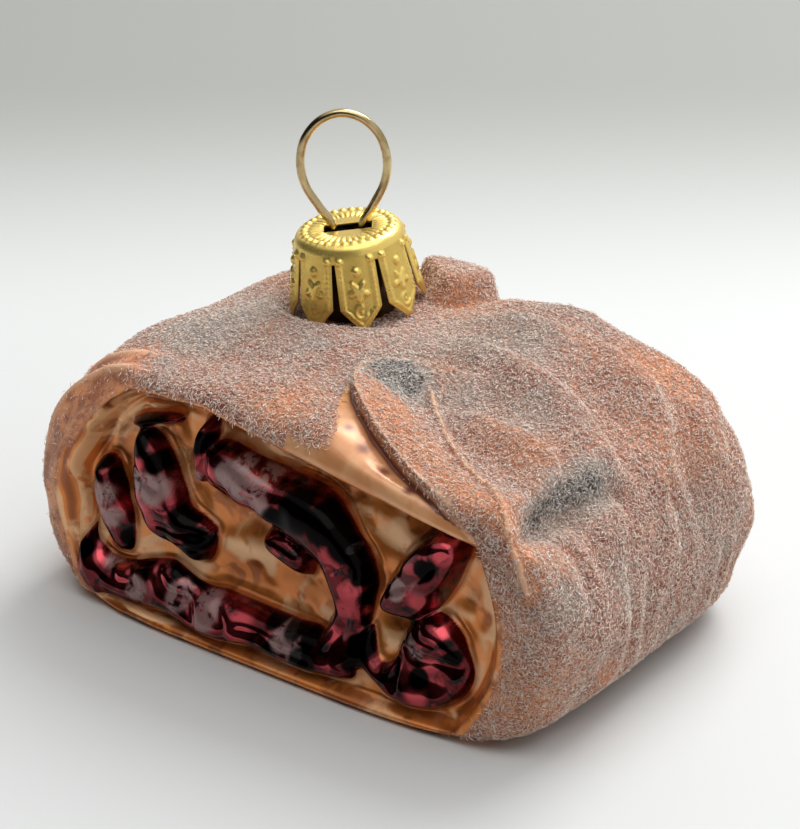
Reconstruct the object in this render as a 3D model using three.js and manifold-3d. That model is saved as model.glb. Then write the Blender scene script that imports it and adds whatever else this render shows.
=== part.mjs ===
// A blown-glass hanging ornament in the form of a slice of cherry strudel.
// Units are millimetres, +Z is up, +X runs along the cut face and -Y looks out of it.
// The origin is on the ground under the middle of the ornament.
import * as THREE from 'three';
import { mergeVertices } from 'three/addons/utils/BufferGeometryUtils.js';
import Module from 'manifold-3d';

const wasm = await Module();
wasm.setup();

// ---- Driving dimensions -------------------------------------------------------------------

// The plain roll, to which folds and swellings add one or two millimetres
const ROLL_LENGTH = 77.4; // along X, from the pointed left end to the right bulge
const ROLL_DEPTH = 49; // along Y, from the cut face to the back
const ROLL_HEIGHT = 33.4;
const GIRTH_LEVEL = 13; // height at which the roll is longest
const SOLE_SINK = 0.7; // how much of the rounded underside is pressed flat
const GRID = { x: 46, y: 26, z: 22, frontBias: 0.25 }; // how finely, and how much finer in front

const FACE_Y = -ROLL_DEPTH / 2; // plane of the cut face
const HALF = { x: ROLL_LENGTH / 2, y: ROLL_DEPTH / 2 };

// Roundness of the roll: 2 is an ellipse, larger is boxier
const SECTION_ROUNDNESS = { side: 2.05, top: 3, footLeft: 6.5, footRight: 4.2 };
const RIM_ROUNDNESS = { front: 14, back: 7 };
const FOOT_BULGE = { depth: 3, halfLength: 36, height: 9, reach: 6 }; // forward, at the face's foot
// Broad swellings: left of the cap, and of the pointed left end
const SWELLINGS = [
  { at: [-22, 3, 33], reach: 16, height: 2.2 },
  { at: [-37, -14, 20], reach: 11, height: 2 },
];

// The sag of the front top edge towards the right, which also grows from the middle to the face
const SAG = { depth: 3.6, startX: -14, endX: 30, startY: 20, startZ: 13, endZ: 30 };

// The recess behind the lip of the cut face
const LIP = { height: 31.4, startX: -12, dropRight: 0.095, dropLeft: 0.06, wall: 2.4 };
const RECESS = {
  left: { x: -34, level: 13.5, bend: 0.036 },
  right: { x: 31.2, level: 14, bend: 0.028 },
  foot: 0.9, // height of the thin lower rim
  footSlope: 2, // how much faster the floor falls off to the lower rim than to the others
  floorAtTop: 4.6, // depth of the floor behind the lip
  floorAtFoot: 2.4,
  top: 27, // heights between which the floor goes from one depth to the other
  bottom: 4,
};
const FACING = { from: 0.72, to: 0.97 }; // how squarely a place of the cut face looks forward
const BEHIND_FACE = { from: 0.4, to: 3 }; // where the sheet's folds fade in behind the cut face

// Cherries on the cut face: [x, z, half width] along the middle line of each
const CHERRIES = {
  leftSmall: [[-28.8, 16.8, 1.8], [-28, 13, 2.9], [-26.8, 9.4, 2.4]],
  leftLarge: [[-22.2, 22.4, 2.2], [-20.8, 18.4, 3.5], [-18, 14.6, 3.6], [-14.6, 12.6, 2.8]],
  stem: [[-12.9, 27.2, 1.2], [-13, 24.4, 1.4], [-13.4, 21.8, 0.9]],
  hook: [[-10, 23.2, 2.8], [-4.6, 22.3, 3.5], [1, 21, 3.8], [6, 18.6, 3.6], [9.2, 14.6, 2.9],
    [9.2, 10.4, 2.8], [8.6, 6.4, 2.8]],
  foot: [[-31, 8.8, 1.3], [-29.4, 5, 2.8], [-24.2, 4.5, 2.7], [-18, 5.2, 3.2], [-11.6, 4.5, 2.8],
    [-4, 4.5, 2.5], [3, 4.5, 2.5], [8.6, 6.4, 2.8]],
  bead: [[-2.4, 16.4, 1.5], [0, 15.7, 2.2], [2.2, 14.2, 1.5]],
  link: [[12, 8.6, 0.9], [12.4, 5.6, 1.3]],
  rightUpper: [[21.8, 22.8, 2.1], [19, 18.8, 3.6], [15.8, 14.8, 2.7]],
  rightLower: [[21.4, 11.2, 2.9], [23, 7.8, 3.8], [19.6, 5.2, 3], [15, 4.4, 1.9], [12.4, 5.6, 1.3]],
};
const CHERRY_DOME = 1; // how far a cherry stands out, as a share of its half width
const CHERRY_PROUD = 0.4; // the most that it may pass the plane of the cut face

// Folds of the top sheet: [x, y, half width] along the middle line of each
const TONGUE = { // ends behind the lip
  path: [[3.6, -5.8, 4.2], [9, -10.6, 5.6], [16.5, -15.2, 5.4], [23.5, -18.9, 3.4], [29, -21.6, 1.4]],
  thick: 2,
};
const LEAF = { path: [[21.5, -10.5, 3.4], [25, -10.6, 3], [28.6, -11.2, 1.5]], thick: 1.1 };
const FOLD_EDGE = 2; // over how far a fold falls off to the sheet below
const HOLLOW = { from: [30.8, -19.4], to: [32.8, -7], width: 2, depth: 2 };
const STEPS = [
  { path: [[8, 4.5], [15, 3.3], [23.4, 1.9], [29.1, -1.1], [33.4, -5]], height: 1.1 },
  { path: [[7.6, 13.6], [19.6, 14], [26.1, 12.6], [30.6, 9.6], [33.8, 5.2]], height: 1.1 },
  { path: [[12, 21], [24, 21], [31, 18.6], [35.4, 14.4]], height: 0.7 },
];
const STEP_SOFT = 4.5; // run-up of a step
const STEP_SHARP = 1.5; // its drop
const LOBE = { x: -6.2, y: 18.2, along: 6.4, across: 5, turn: 37, height: 2.8 };
const RIM_RIDGES = [
  { inset: 2.4, height: 0.8, width: 1 },
  { inset: 6.6, height: 0.6, width: 1.4 },
];
const RIM_RIDGE_FADE = { from: 18, to: 28 }; // towards the left end
const WAVES = [
  { height: 0.45, x: 0.21, y: 0.13, z: 0.1, shift: 0.4 },
  { height: 0.3, x: -0.12, y: 0.33, z: 0.17, shift: 2.1 },
  { height: 0.2, x: 0.38, y: -0.16, z: 0.31, shift: 4.4 },
]; // slow unevenness of the sheet: radians per millimetre along each axis
const WAVES_FOOT = { from: 2, to: 8 }; // heights over which it fades in, as the sole is flat

// Neck, cap and hanger stand together on one leaning axis
const AXIS = { x: -13.3, y: 7.9, foot: 32.3, leanX: -5.6, leanY: 4.2 };
const NECK = { radius: 5.2, bore: 3.9, top: 10.1, boreFloor: 0.6, root: 3, sides: 32 };
const CAP = {
  top: 11.1,
  discRadius: 5.9,
  bandRadius: 6.95, // where the petals start
  tipRadius: 8.3,
  sheet: 0.5,
  band: 1.8, // from the top down to where the petals start
  tip: 0.9,
  beadOut: 0.55, // how far the beaded edge of the disc stands out, and how tall it is
  beadTall: 0.5,
  sides: 48,
};
const SEAT = { radius: 8.6, fade: 3, level: 0.4 }; // the level glass under the cap
const PETALS = 8;
const PETAL_TURN = 88; // where one of the petals points, in degrees from +X
const PETAL_GAP = { top: 2.4, topWidth: 0.44, tipRise: 2.5, tipWidth: 1.1, mouth: 7.8 };
const SLOT = { length: 6, width: 2.3 };
const HANGER_TURN = 37; // the loop and the slot lie along this direction, in degrees from +X
const WIRE = { radius: 0.5, steps: 48, sides: 5 }; // sides of each half of its round section
const LOOP = { halfWidth: 5.2, widest: 8.6, rise: 14.9, legGap: 1.8, legSpread: 2.2, legDepth: 4.6 };
const LOOP_LEAN = 4; // degrees by which the loop stands straighter than the cap

// ---- Small helpers ------------------------------------------------------------------------

const clamp = THREE.MathUtils.clamp;
const lerp = THREE.MathUtils.lerp;
const radians = THREE.MathUtils.degToRad;
const smooth = (value, from, to) => {
  const t = clamp((value - from) / (to - from), 0, 1);
  return t * t * (3 - 2 * t);
};
const bell = (value) => Math.exp(-value * value);

// Nearest place on a chain of points: its distance, side, and the chain's half width there
function nearestOnChain(chain, a, b) {
  let best = { distance: Infinity, side: 0, radius: 0, reach: 0 };
  for (let i = 0; i + 1 < chain.length; i++) {
    const [ax, ay, ar = 0] = chain[i];
    const [bx, by, br = 0] = chain[i + 1];
    const dx = bx - ax;
    const dy = by - ay;
    const t = clamp(((a - ax) * dx + (b - ay) * dy) / (dx * dx + dy * dy), 0, 1);
    const distance = Math.hypot(a - ax - dx * t, b - ay - dy * t);
    const radius = lerp(ar, br, t);
    if (distance - radius < best.distance - best.radius) {
      const side = (dx * (b - ay) - dy * (a - ax)) / Math.hypot(dx, dy);
      best = { distance, side, radius, reach: (i + t) / (chain.length - 1) };
    }
  }
  return best;
}

// ---- The moulded glass body ---------------------------------------------------------------

// A point of the cube from -1 to 1 becomes a point and an outward direction of the plain roll
function plainRoll(cube) {
  const girth = Math.abs(cube.z) / (Math.abs(cube.x) + Math.abs(cube.z) + 1e-9);
  const foot = lerp(SECTION_ROUNDNESS.footLeft, SECTION_ROUNDNESS.footRight, smooth(cube.x, -0.5, 0.5));
  const upright = cube.z > 0 ? SECTION_ROUNDNESS.top : foot;
  const p = lerp(SECTION_ROUNDNESS.side, upright, smooth(girth, 0.05, 0.6));
  const section = Math.pow(Math.abs(cube.x) ** p + Math.abs(cube.z) ** p, 1 / p);
  const rim = cube.y < 0 ? RIM_ROUNDNESS.front : RIM_ROUNDNESS.back;
  const gauge = Math.pow(section ** rim + Math.abs(cube.y) ** rim, 1 / rim);
  const unit = cube.clone().divideScalar(gauge);
  const rise = unit.z > 0 ? ROLL_HEIGHT - GIRTH_LEVEL : GIRTH_LEVEL + SOLE_SINK;
  const spot = new THREE.Vector3(unit.x * HALF.x, unit.y * HALF.y, GIRTH_LEVEL + unit.z * rise);
  const blend = section ** (rim - p);
  const normal = new THREE.Vector3(
    (Math.sign(unit.x) * Math.abs(cube.x) ** (p - 1) * blend) / HALF.x,
    (Math.sign(unit.y) * Math.abs(cube.y) ** (rim - 1)) / HALF.y,
    (Math.sign(unit.z) * Math.abs(cube.z) ** (p - 1) * blend) / rise,
  ).normalize();
  return { spot, normal };
}

// Height of the lip's lower edge over the ground
function lipEdge(x) {
  return LIP.height - (x > LIP.startX ? LIP.dropRight : -LIP.dropLeft) * (x - LIP.startX);
}

// How far inside the recess a place on the cut face lies, in millimetres
function insideRecess(x, z) {
  const fromLeft = x - (RECESS.left.x + RECESS.left.bend * (z - RECESS.left.level) ** 2);
  const fromRight = RECESS.right.x - RECESS.right.bend * (z - RECESS.right.level) ** 2 - x;
  return Math.min(fromLeft, fromRight, lipEdge(x) - z, RECESS.footSlope * (z - RECESS.foot));
}

// How far the cherries stand out of a floor of the given depth
function cherryHeight(x, z, floor) {
  let height = 0;
  for (const chain of Object.values(CHERRIES)) {
    const { distance, radius } = nearestOnChain(chain, x, z);
    const dome = Math.max(0, 1 - (distance / radius) ** 2);
    height = Math.max(height, dome * Math.min(radius * CHERRY_DOME, floor + CHERRY_PROUD));
  }
  return height;
}

// Depth of the cut face behind its plane: the recess, less what the cherries fill
function faceDepth(x, z) {
  const inside = insideRecess(x, z);
  const rise = smooth(z, RECESS.bottom, RECESS.top);
  const floor = lerp(RECESS.floorAtFoot, RECESS.floorAtTop, rise) * smooth(inside, 0, LIP.wall);
  return floor - cherryHeight(x, z, floor);
}

// Thickness that the folds of the top sheet add over a place seen from above
function topFolds(x, y) {
  const tongue = nearestOnChain(TONGUE.path, x, y);
  const tongueEdge = smooth(tongue.radius - tongue.distance, -FOLD_EDGE / 2, FOLD_EDGE / 2);
  const tongueBack = smooth(-tongue.side / tongue.radius, -1, 0.2);
  const leaf = nearestOnChain(LEAF.path, x, y);
  const leafEdge = smooth(leaf.radius - leaf.distance, 0, FOLD_EDGE) * smooth(leaf.reach, 0, 0.8);
  const hollow = nearestOnChain([HOLLOW.from, HOLLOW.to], x, y);
  const folds = TONGUE.thick * tongueEdge * tongueBack + LEAF.thick * leafEdge;
  return folds - HOLLOW.depth * bell(hollow.distance / HOLLOW.width);
}

// A step climbs slowly from the front and drops behind its line
function stepHeight(step, x, y) {
  const { distance, side } = nearestOnChain(step.path, x, y);
  return step.height * bell(distance / (side > 0 ? STEP_SHARP : STEP_SOFT));
}

function lobeHeight(x, y) {
  const turn = radians(LOBE.turn);
  const along = ((x - LOBE.x) * Math.cos(turn) + (y - LOBE.y) * Math.sin(turn)) / LOBE.along;
  const across = ((y - LOBE.y) * Math.cos(turn) - (x - LOBE.x) * Math.sin(turn)) / LOBE.across;
  return LOBE.height * (1 - smooth(Math.hypot(along, across), 0.5, 1));
}

function swellingHeight(spot) {
  let height = 0;
  for (const swelling of SWELLINGS) {
    height += swelling.height * bell(spot.distanceTo(new THREE.Vector3(...swelling.at)) / swelling.reach);
  }
  return height;
}

// The glass is pressed level under the cap, so that its petals stand clear of it
function seatCap(point) {
  const local = point.clone().applyMatrix4(axisMatrix().invert());
  const free = smooth(Math.hypot(local.x, local.y), SEAT.radius, SEAT.radius + SEAT.fade);
  local.z = lerp(Math.min(local.z, SEAT.level), local.z, free);
  return local.applyMatrix4(axisMatrix());
}

// How far the foot of the cut face swells forward
function footBulge(x, y, z) {
  const along = 1 - Math.min(1, Math.abs(x / FOOT_BULGE.halfLength)) ** 4;
  const near = smooth(-y, HALF.y - FOOT_BULGE.reach, HALF.y);
  return FOOT_BULGE.depth * along * near * (1 - smooth(z, 0, FOOT_BULGE.height));
}

// How far the front top edge sags
function sagDepth(x, y, z) {
  const along = smooth(x, SAG.startX, SAG.endX);
  const forward = smooth(-y, -SAG.startY, HALF.y);
  return SAG.depth * along * forward * smooth(z, SAG.startZ, SAG.endZ);
}

// Ridges that run round the left end, parallel to the cut face
function rimRidges(x, y) {
  let height = 0;
  for (const ridge of RIM_RIDGES) {
    height += ridge.height * bell((y - FACE_Y - ridge.inset) / ridge.width);
  }
  return height * smooth(-x, RIM_RIDGE_FADE.from, RIM_RIDGE_FADE.to);
}

function unevenness(x, y, z) {
  let height = 0;
  for (const wave of WAVES) {
    height += wave.height * Math.sin(wave.x * x + wave.y * y + wave.z * z + wave.shift);
  }
  return height * smooth(z, WAVES_FOOT.from, WAVES_FOOT.to);
}

// What the folds, steps and waves of the sheet add to the plain roll, along its normal
function sheetRelief({ x, y, z }, normal) {
  const onTop = smooth(normal.z, 0, 0.5);
  const aboveGirth = smooth(normal.z, -0.3, 0.3);
  let relief = onTop * (topFolds(x, y) + lobeHeight(x, y)) + unevenness(x, y, z);
  for (const step of STEPS) {
    relief += aboveGirth * stepHeight(step, x, y);
  }
  return relief * smooth(y - FACE_Y, BEHIND_FACE.from, BEHIND_FACE.to);
}

function mouldPoint(cube) {
  const { spot, normal } = plainRoll(cube);
  const { x, y, z } = spot;
  const relief = sheetRelief(spot, normal) + swellingHeight(spot) + rimRidges(x, y);
  const moulded = spot.clone().addScaledVector(normal, relief);
  moulded.z -= sagDepth(x, y, z);
  const facing = smooth(-normal.y, FACING.from, FACING.to);
  moulded.y += facing * faceDepth(x, moulded.z) - footBulge(x, y, moulded.z);
  moulded.z = Math.max(moulded.z, 0);
  return moulded.z > GIRTH_LEVEL ? seatCap(moulded) : moulded;
}

function pastryGeometry() {
  const cube = new THREE.BoxGeometry(2, 2, 2, GRID.x, GRID.y, GRID.z);
  const positions = cube.attributes.position;
  for (let i = 0; i < positions.count; i++) {
    const node = new THREE.Vector3().fromBufferAttribute(positions, i);
    node.y += GRID.frontBias * (node.y ** 2 - 1);
    positions.setXYZ(i, ...mouldPoint(node).toArray());
  }
  return onlyPositions(cube);
}

// ---- Solids that are joined and cut -------------------------------------------------------

function onlyPositions(geometry) {
  geometry.deleteAttribute('normal');
  geometry.deleteAttribute('uv');
  return mergeVertices(geometry, 1e-4);
}

function toSolid(geometry) {
  const merged = onlyPositions(geometry.clone());
  return new wasm.Manifold(new wasm.Mesh({
    numProp: 3,
    vertProperties: Float32Array.from(merged.attributes.position.array),
    triVerts: Uint32Array.from(merged.index.array),
  }));
}

function toGeometry(solid) {
  const mesh = solid.getMesh();
  const geometry = new THREE.BufferGeometry();
  geometry.setAttribute('position', new THREE.BufferAttribute(mesh.vertProperties, 3));
  geometry.setIndex(new THREE.BufferAttribute(mesh.triVerts, 1));
  return geometry;
}

// A solid of revolution about +Z from [radius, height] pairs
function turned(profile, sides) {
  const points = profile.map(([radius, height]) => new THREE.Vector2(radius, height));
  return new THREE.LatheGeometry(points, sides).rotateX(Math.PI / 2);
}

// The leaning axis that neck, cap and hanger share
function axisMatrix() {
  const lean = new THREE.Euler(radians(AXIS.leanY), radians(AXIS.leanX), 0);
  return new THREE.Matrix4().makeRotationFromEuler(lean).setPosition(AXIS.x, AXIS.y, AXIS.foot);
}

// A plug on that axis, between two heights
function plug(radius, bottom, top) {
  const outline = [[0, bottom], [radius, bottom], [radius, top], [0, top]];
  return toSolid(turned(outline, NECK.sides).applyMatrix4(axisMatrix()));
}

function glassBody() {
  const neck = plug(NECK.radius, -NECK.root, NECK.top);
  const bore = plug(NECK.bore, NECK.boreFloor, NECK.top + 1);
  return toGeometry(toSolid(pastryGeometry()).add(neck).subtract(bore));
}

// ---- The stamped cap ----------------------------------------------------------------------

function capSheet() {
  const inner = CAP.top - CAP.sheet;
  return turned([
    [0, inner],
    [CAP.discRadius - CAP.sheet / 2, inner],
    [CAP.bandRadius - CAP.sheet, CAP.top - CAP.band],
    [CAP.tipRadius - CAP.sheet, CAP.tip],
    [CAP.tipRadius, CAP.tip],
    [CAP.bandRadius, CAP.top - CAP.band],
    [CAP.discRadius + CAP.beadOut, CAP.top - CAP.beadTall],
    [CAP.discRadius, CAP.top],
    [0, CAP.top],
  ], CAP.sides);
}

// What is cut away between two petals: a narrow slit that opens into the pointed tips
function petalGap() {
  const right = [
    [PETAL_GAP.mouth / 2, CAP.tip - 1],
    [PETAL_GAP.tipWidth / 2, CAP.tip + PETAL_GAP.tipRise],
    [PETAL_GAP.topWidth / 2, CAP.top - PETAL_GAP.top],
  ];
  const left = right.map(([across, up]) => [-across, up]).reverse();
  const outline = new THREE.Shape([...right, ...left].map(([across, up]) => new THREE.Vector2(across, up)));
  const depth = CAP.tipRadius;
  const gap = new THREE.ExtrudeGeometry(outline, { depth, bevelEnabled: false });
  return gap.rotateX(Math.PI / 2).translate(0, depth + NECK.radius / 2, 0);
}

function slotCutter() {
  return new THREE.BoxGeometry(SLOT.length, SLOT.width, 4 * CAP.sheet).translate(0, 0, CAP.top);
}

function capGeometry() {
  let cap = toSolid(capSheet());
  for (let i = 0; i < PETALS; i++) {
    const angle = radians(PETAL_TURN + (360 / PETALS) * (i + 0.5) - 90);
    cap = cap.subtract(toSolid(petalGap().rotateZ(angle)));
  }
  return toGeometry(cap.subtract(toSolid(slotCutter().rotateZ(radians(HANGER_TURN)))));
}

// ---- The wire hanger ----------------------------------------------------------------------

function hangerGeometry() {
  // [across, up] from the end of one leg, under the cap, to just before the top of the loop
  const right = [
    [LOOP.legSpread, -LOOP.legDepth],
    [LOOP.legGap, 0],
    [LOOP.halfWidth * 0.63, LOOP.widest * 0.32],
    [LOOP.halfWidth * 0.92, LOOP.widest * 0.66],
    [LOOP.halfWidth, LOOP.widest],
    [LOOP.halfWidth * 0.86, lerp(LOOP.widest, LOOP.rise, 0.5)],
    [LOOP.halfWidth * 0.48, lerp(LOOP.widest, LOOP.rise, 0.87)],
  ];
  const left = right.map(([across, up]) => [-across, up]).reverse();
  const bends = [...right, [0, LOOP.rise], ...left];
  const points = bends.map(([across, up]) => new THREE.Vector3(across, 0, up));
  const circle = new THREE.Shape().absarc(0, 0, WIRE.radius, 0, 2 * Math.PI);
  const path = new THREE.CatmullRomCurve3(points, false, 'centripetal');
  const section = { steps: WIRE.steps, curveSegments: WIRE.sides, extrudePath: path };
  const wire = new THREE.ExtrudeGeometry(circle, section);
  return wire.rotateY(radians(LOOP_LEAN)).rotateZ(radians(HANGER_TURN)).translate(0, 0, CAP.top);
}

// ---- Assembly -----------------------------------------------------------------------------

const lacquer = new THREE.MeshStandardMaterial({ color: 0xb98464, roughness: 0.8, metalness: 0 });
const gold = new THREE.MeshStandardMaterial({ color: 0xc9a23c, roughness: 0.35, metalness: 1 });
const brass = new THREE.MeshStandardMaterial({ color: 0xa98f5c, roughness: 0.25, metalness: 1 });

function named(name, geometry, material) {
  const mesh = new THREE.Mesh(geometry, material);
  mesh.name = name;
  return mesh;
}

const ornament = new THREE.Group();
ornament.add(named('glass_body', glassBody(), lacquer));

const crown = new THREE.Group();
crown.applyMatrix4(axisMatrix());
crown.add(named('cap', capGeometry(), gold));
crown.add(named('hanger_wire', hangerGeometry(), brass));
ornament.add(crown);

// The origin goes to the ground under the middle of the bounding box
const middle = new THREE.Box3().setFromObject(ornament, true).getCenter(new THREE.Vector3());
ornament.position.set(-middle.x, -middle.y, 0);

export default ornament;
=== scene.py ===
"""Looks of a blown-glass hanging ornament in the form of a slice of cherry strudel.

Shapes are worked out in millimetres in the slice's design frame (+X along the cut face, -Y out
of it, +Z up) and moved to the frame's origin, in metres, as the last step.
"""

import math
import bpy
import numpy as np
from mathutils import Matrix, Vector


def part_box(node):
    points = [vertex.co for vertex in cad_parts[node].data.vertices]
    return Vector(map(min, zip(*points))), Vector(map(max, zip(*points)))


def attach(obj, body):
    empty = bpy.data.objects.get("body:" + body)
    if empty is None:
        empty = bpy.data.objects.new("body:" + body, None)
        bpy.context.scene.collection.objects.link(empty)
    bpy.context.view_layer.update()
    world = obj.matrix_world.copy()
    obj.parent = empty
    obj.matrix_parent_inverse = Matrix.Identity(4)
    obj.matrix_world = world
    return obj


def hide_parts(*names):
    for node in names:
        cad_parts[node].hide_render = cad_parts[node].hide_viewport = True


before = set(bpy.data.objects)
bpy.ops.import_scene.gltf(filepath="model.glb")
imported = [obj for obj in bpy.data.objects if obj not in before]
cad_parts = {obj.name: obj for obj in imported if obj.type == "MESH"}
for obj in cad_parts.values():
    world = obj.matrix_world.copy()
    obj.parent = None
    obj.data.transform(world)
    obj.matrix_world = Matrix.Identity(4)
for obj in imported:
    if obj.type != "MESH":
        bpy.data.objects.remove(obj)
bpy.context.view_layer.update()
MM = 0.001
RANDOM = np.random.default_rng(7)

# ---- Driving dimensions of the slice, millimetres ----

ROLL = {"length": 77.4, "depth": 49.0, "height": 33.4, "girth": 13.0, "sole": 0.7}
HALF_X = ROLL["length"] / 2
HALF_Y = ROLL["depth"] / 2
FACE_Y = -HALF_Y  # plane of the cut face
SECTION_ROUNDNESS = {"side": 2.05, "top": 3.0, "foot_left": 6.5, "foot_right": 4.2}
RIM_ROUNDNESS = {"front": 14.0, "back": 7.0}
FOOT_BULGE = {"depth": 3.0, "half_length": 36.0, "height": 9.0, "reach": 6.0}
SWELLINGS = (((-22, 3, 33), 16.0, 2.2), ((-37, -14, 20), 11.0, 2.0))  # place, reach, height
SAG = {"depth": 3.6, "x": (-14, 30), "y": 20, "z": (13, 30)}
LIP = {"height": 31.4, "start": -12.0, "drop_right": 0.15, "drop_left": 0.06, "wall": 2.4}
RECESS = {
    "left": (-34.0, 13.5, 0.036),  # x, level and bend of the left border
    "right": (31.2, 14.0, 0.028),
    "foot": 0.9,
    "foot_slope": 2.0,
    "floor": (2.4, 4.6),  # depth at the foot and behind the lip
    "rise": (4.0, 27.0),
}
FACING = (0.72, 0.97)  # how squarely a place of the cut face looks forward
BEHIND_FACE = (0.4, 3.0)  # over which distance the sheet's relief starts, behind the face
RIM_RIDGES = ((2.4, 0.8, 0.9), (6.4, 0.7, 1.1))  # inset, height, width
WALL_RIDGES = ((-3.4, 0.6, 0.6), (-1.2, 0.9, 0.7), (1.4, 0.9, 0.6), (3.3, 0.6, 0.6))  # the same
RIM_WANDER = ((0.17, 0.28, 0.6), (0.07, 0.66, 2.0))  # share of the inset, turn along z, start
WAVES = (  # height, turn along x, y and z, start
    (0.45, 0.21, 0.13, 0.10, 0.4),
    (0.30, -0.12, 0.33, 0.17, 2.1),
    (0.20, 0.38, -0.16, 0.31, 4.4),
)
# Ripples of the right side: height, turn along y and z, its sway, and how the height comes and goes
SIDE_RIPPLES = {"rise": 0.36, "turn": (1.2, -0.3), "sway": (1.4, 0.33, 0.21), "fade": (0.27, -0.33)}

# Folds of the top sheet, as lines seen from above: [x, y]
FLAP_EDGE = (
    (31.5, -23.6), (28.4, -23.4), (25.6, -23.2), (22.7, -22.8), (18.3, -21.7), (14.7, -20.5),
    (9.7, -18.6), (6.2, -16.4), (3.2, -13.8), (1, -11.2), (0.3, -8.8), (1, -6.4), (2.8, -4.4),
    (5.6, -3.2),
)
FLAP = {"thick": 2.2, "edge": 0.4, "flat": 1.5, "fade": 9.0, "hang": 0.9, "hang_ends": (21.0, 27.0)}
LEAF_EDGE = (
    (17.5, -7.2), (22, -6.6), (26.4, -7.6), (28.6, -9.6), (29.2, -12.1), (29.1, -14.5), (29.1, -17.4),
    (29.9, -19.6),
)
LEAF = {"thick": 1.5, "edge": 0.6, "flat": 0.8, "fade": 6.0}
CREASE = ((30.8, -19.8), (30.9, -16.1), (31.3, -13), (32, -9.2), (32.4, -6.5), (32.8, -4.2))
CREASE_SHAPE = {"depth": 2.6, "width": 1.7}
STEPS = (
    (((8, 4.5), (15, 3.3), (23.4, 1.9), (29.1, -1.1), (33.4, -5)), 1.9),
    (((7.6, 13.6), (19.6, 14), (26.1, 12.6), (30.6, 9.6), (33.8, 5.2)), 1.9),
    (((12, 21), (24, 21), (31, 18.6), (35.4, 14.4)), 1.3),
)
STEP_RUN = (4.5, 1.2)  # run-up and drop of a step
LOBE = {"x": -6.6, "y": 18.2, "along": 6.2, "across": 4.8, "turn": 37.0, "height": 3.0, "groove": 0.7}
SEAM = (  # line on the flap, x, y and z
    (9, -7.2, 33.5), (15.3, -12.6, 34), (20.1, -15.8, 33.5), (24.6, -17.6, 32.3),
    (27.9, -20.4, 31.8), (30.3, -22.4, 29.7), (32.3, -22.7, 27), (34.2, -23.2, 23.8),
)
SEAM_SHAPE = {"height": 0.6, "width": 0.36}

# Outlines of the cherries on the cut face: [x, z]
CHERRIES = {
    "left_small": (
        (-30.1, 18.3), (-28.9, 19.3), (-27.4, 18.7), (-26.2, 16.7), (-25.4, 14.6), (-24.7, 12.5),
        (-24.2, 10.3), (-24.5, 8.1), (-26.1, 7.3), (-27.8, 8.1), (-29.1, 10), (-30.1, 12.5),
        (-30.5, 15.7),
    ),
    "left_large": (
        (-24.2, 23), (-23.4, 24.8), (-21.9, 24.9), (-20.2, 23.7), (-18.2, 21.2), (-17, 18.6), (-15.8, 16),
        (-13.2, 15), (-11.8, 13.8), (-12.3, 10.6), (-13.9, 9.4), (-16.4, 10.3), (-19.8, 10.9),
        (-22.3, 12.4), (-23.7, 14.8), (-24.2, 18.5),
    ),
    "stem": (
        (-14.2, 27.4), (-13.2, 28.6), (-12, 28.2), (-11.8, 26), (-12.2, 23), (-12.6, 20.4), (-13.8, 20.2),
        (-14.6, 22), (-14.7, 25),
    ),
    "sliver": (
        (-25.4, 24.8), (-23.6, 26), (-20.8, 27), (-17.8, 27.4), (-18, 26.2), (-21, 25.4), (-23.6, 24.4),
    ),
    "hook": (
        (-12.8, 22.4), (-12.7, 24.6), (-11.4, 26.1), (-9, 26.5), (-5.3, 25.8), (-1.4, 24.9), (2, 24.6),
        (5, 24), (7.2, 22.7), (9.6, 20), (11.6, 17.2), (12.2, 14.5), (11.9, 10.5), (12, 7.5), (12.6, 5.2),
        (10, 3.6), (7, 3.6), (5.2, 5), (5.6, 7.2), (6.4, 9.2), (6.7, 11.2), (6.4, 12.8), (5.4, 14.2),
        (3.8, 15.6), (1.6, 16.8), (-1, 17.6), (-3.7, 18.2), (-7, 18.9), (-10.2, 19.7), (-12.2, 20.8),
    ),
    "bead": (
        (-3.6, 17.4), (-1, 18), (1.4, 17.4), (3.2, 16), (3.2, 14), (2.4, 12.6), (0.4, 13.2), (-1.8, 13.9),
        (-3.4, 14.8), (-4, 16.2),
    ),
    "foot": (
        (-30.8, 9.6), (-30, 8), (-28.6, 6.4), (-26.6, 6.1), (-23.8, 6.8), (-20.8, 7.9), (-17.6, 8.5),
        (-15, 7.6), (-12.6, 6.9), (-9, 7.1), (-4, 6.8), (1, 6.7), (4.4, 7), (7.5, 6.5), (11, 4.6),
        (10.6, 2.8), (6.5, 2.1), (1.5, 1.9), (-4, 2.2), (-9.5, 1.7), (-14.6, 1.8), (-18, 2.2), (-22, 1.9),
        (-28.6, 1.8), (-31.4, 2.4), (-32.2, 4.4), (-31.8, 7.4),
    ),
    "right_upper": (
        (13.2, 13.4), (13.8, 15.2), (14.9, 17.4), (16.3, 19.9), (18, 22.4), (20, 24.3), (22.3, 25),
        (24.4, 24.3), (24.9, 22.2), (24, 19.5), (22.7, 16.8), (20.9, 14.1), (19, 12.3), (16.7, 11.8),
        (14.4, 12.1),
    ),
    "right_lower": (
        (11.2, 5), (12.3, 4.4), (14.6, 3.4), (16.8, 2.6), (18.8, 2.2), (21, 2.3), (23.2, 3), (25.3, 4.4),
        (26.7, 6.4), (27, 8.4), (26.3, 10.4), (25, 12.3), (23.2, 13.8), (21, 14.2), (18.9, 13.4),
        (17.5, 11.8), (16.9, 10.2), (16.4, 8.4), (16.2, 7), (15, 6), (13.9, 6.2), (13, 7.8), (12.2, 9.6),
        (11.2, 8.6),
    ),
}
CHERRY = {  # widths of the rounding in all and at the edge, share of the crown, blur of it
    "dome": 4.2, "edge": 1.5, "crown": 0.5, "blur": 0.7, "proud": 0.7, "lumps": 0.5,
}
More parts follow.
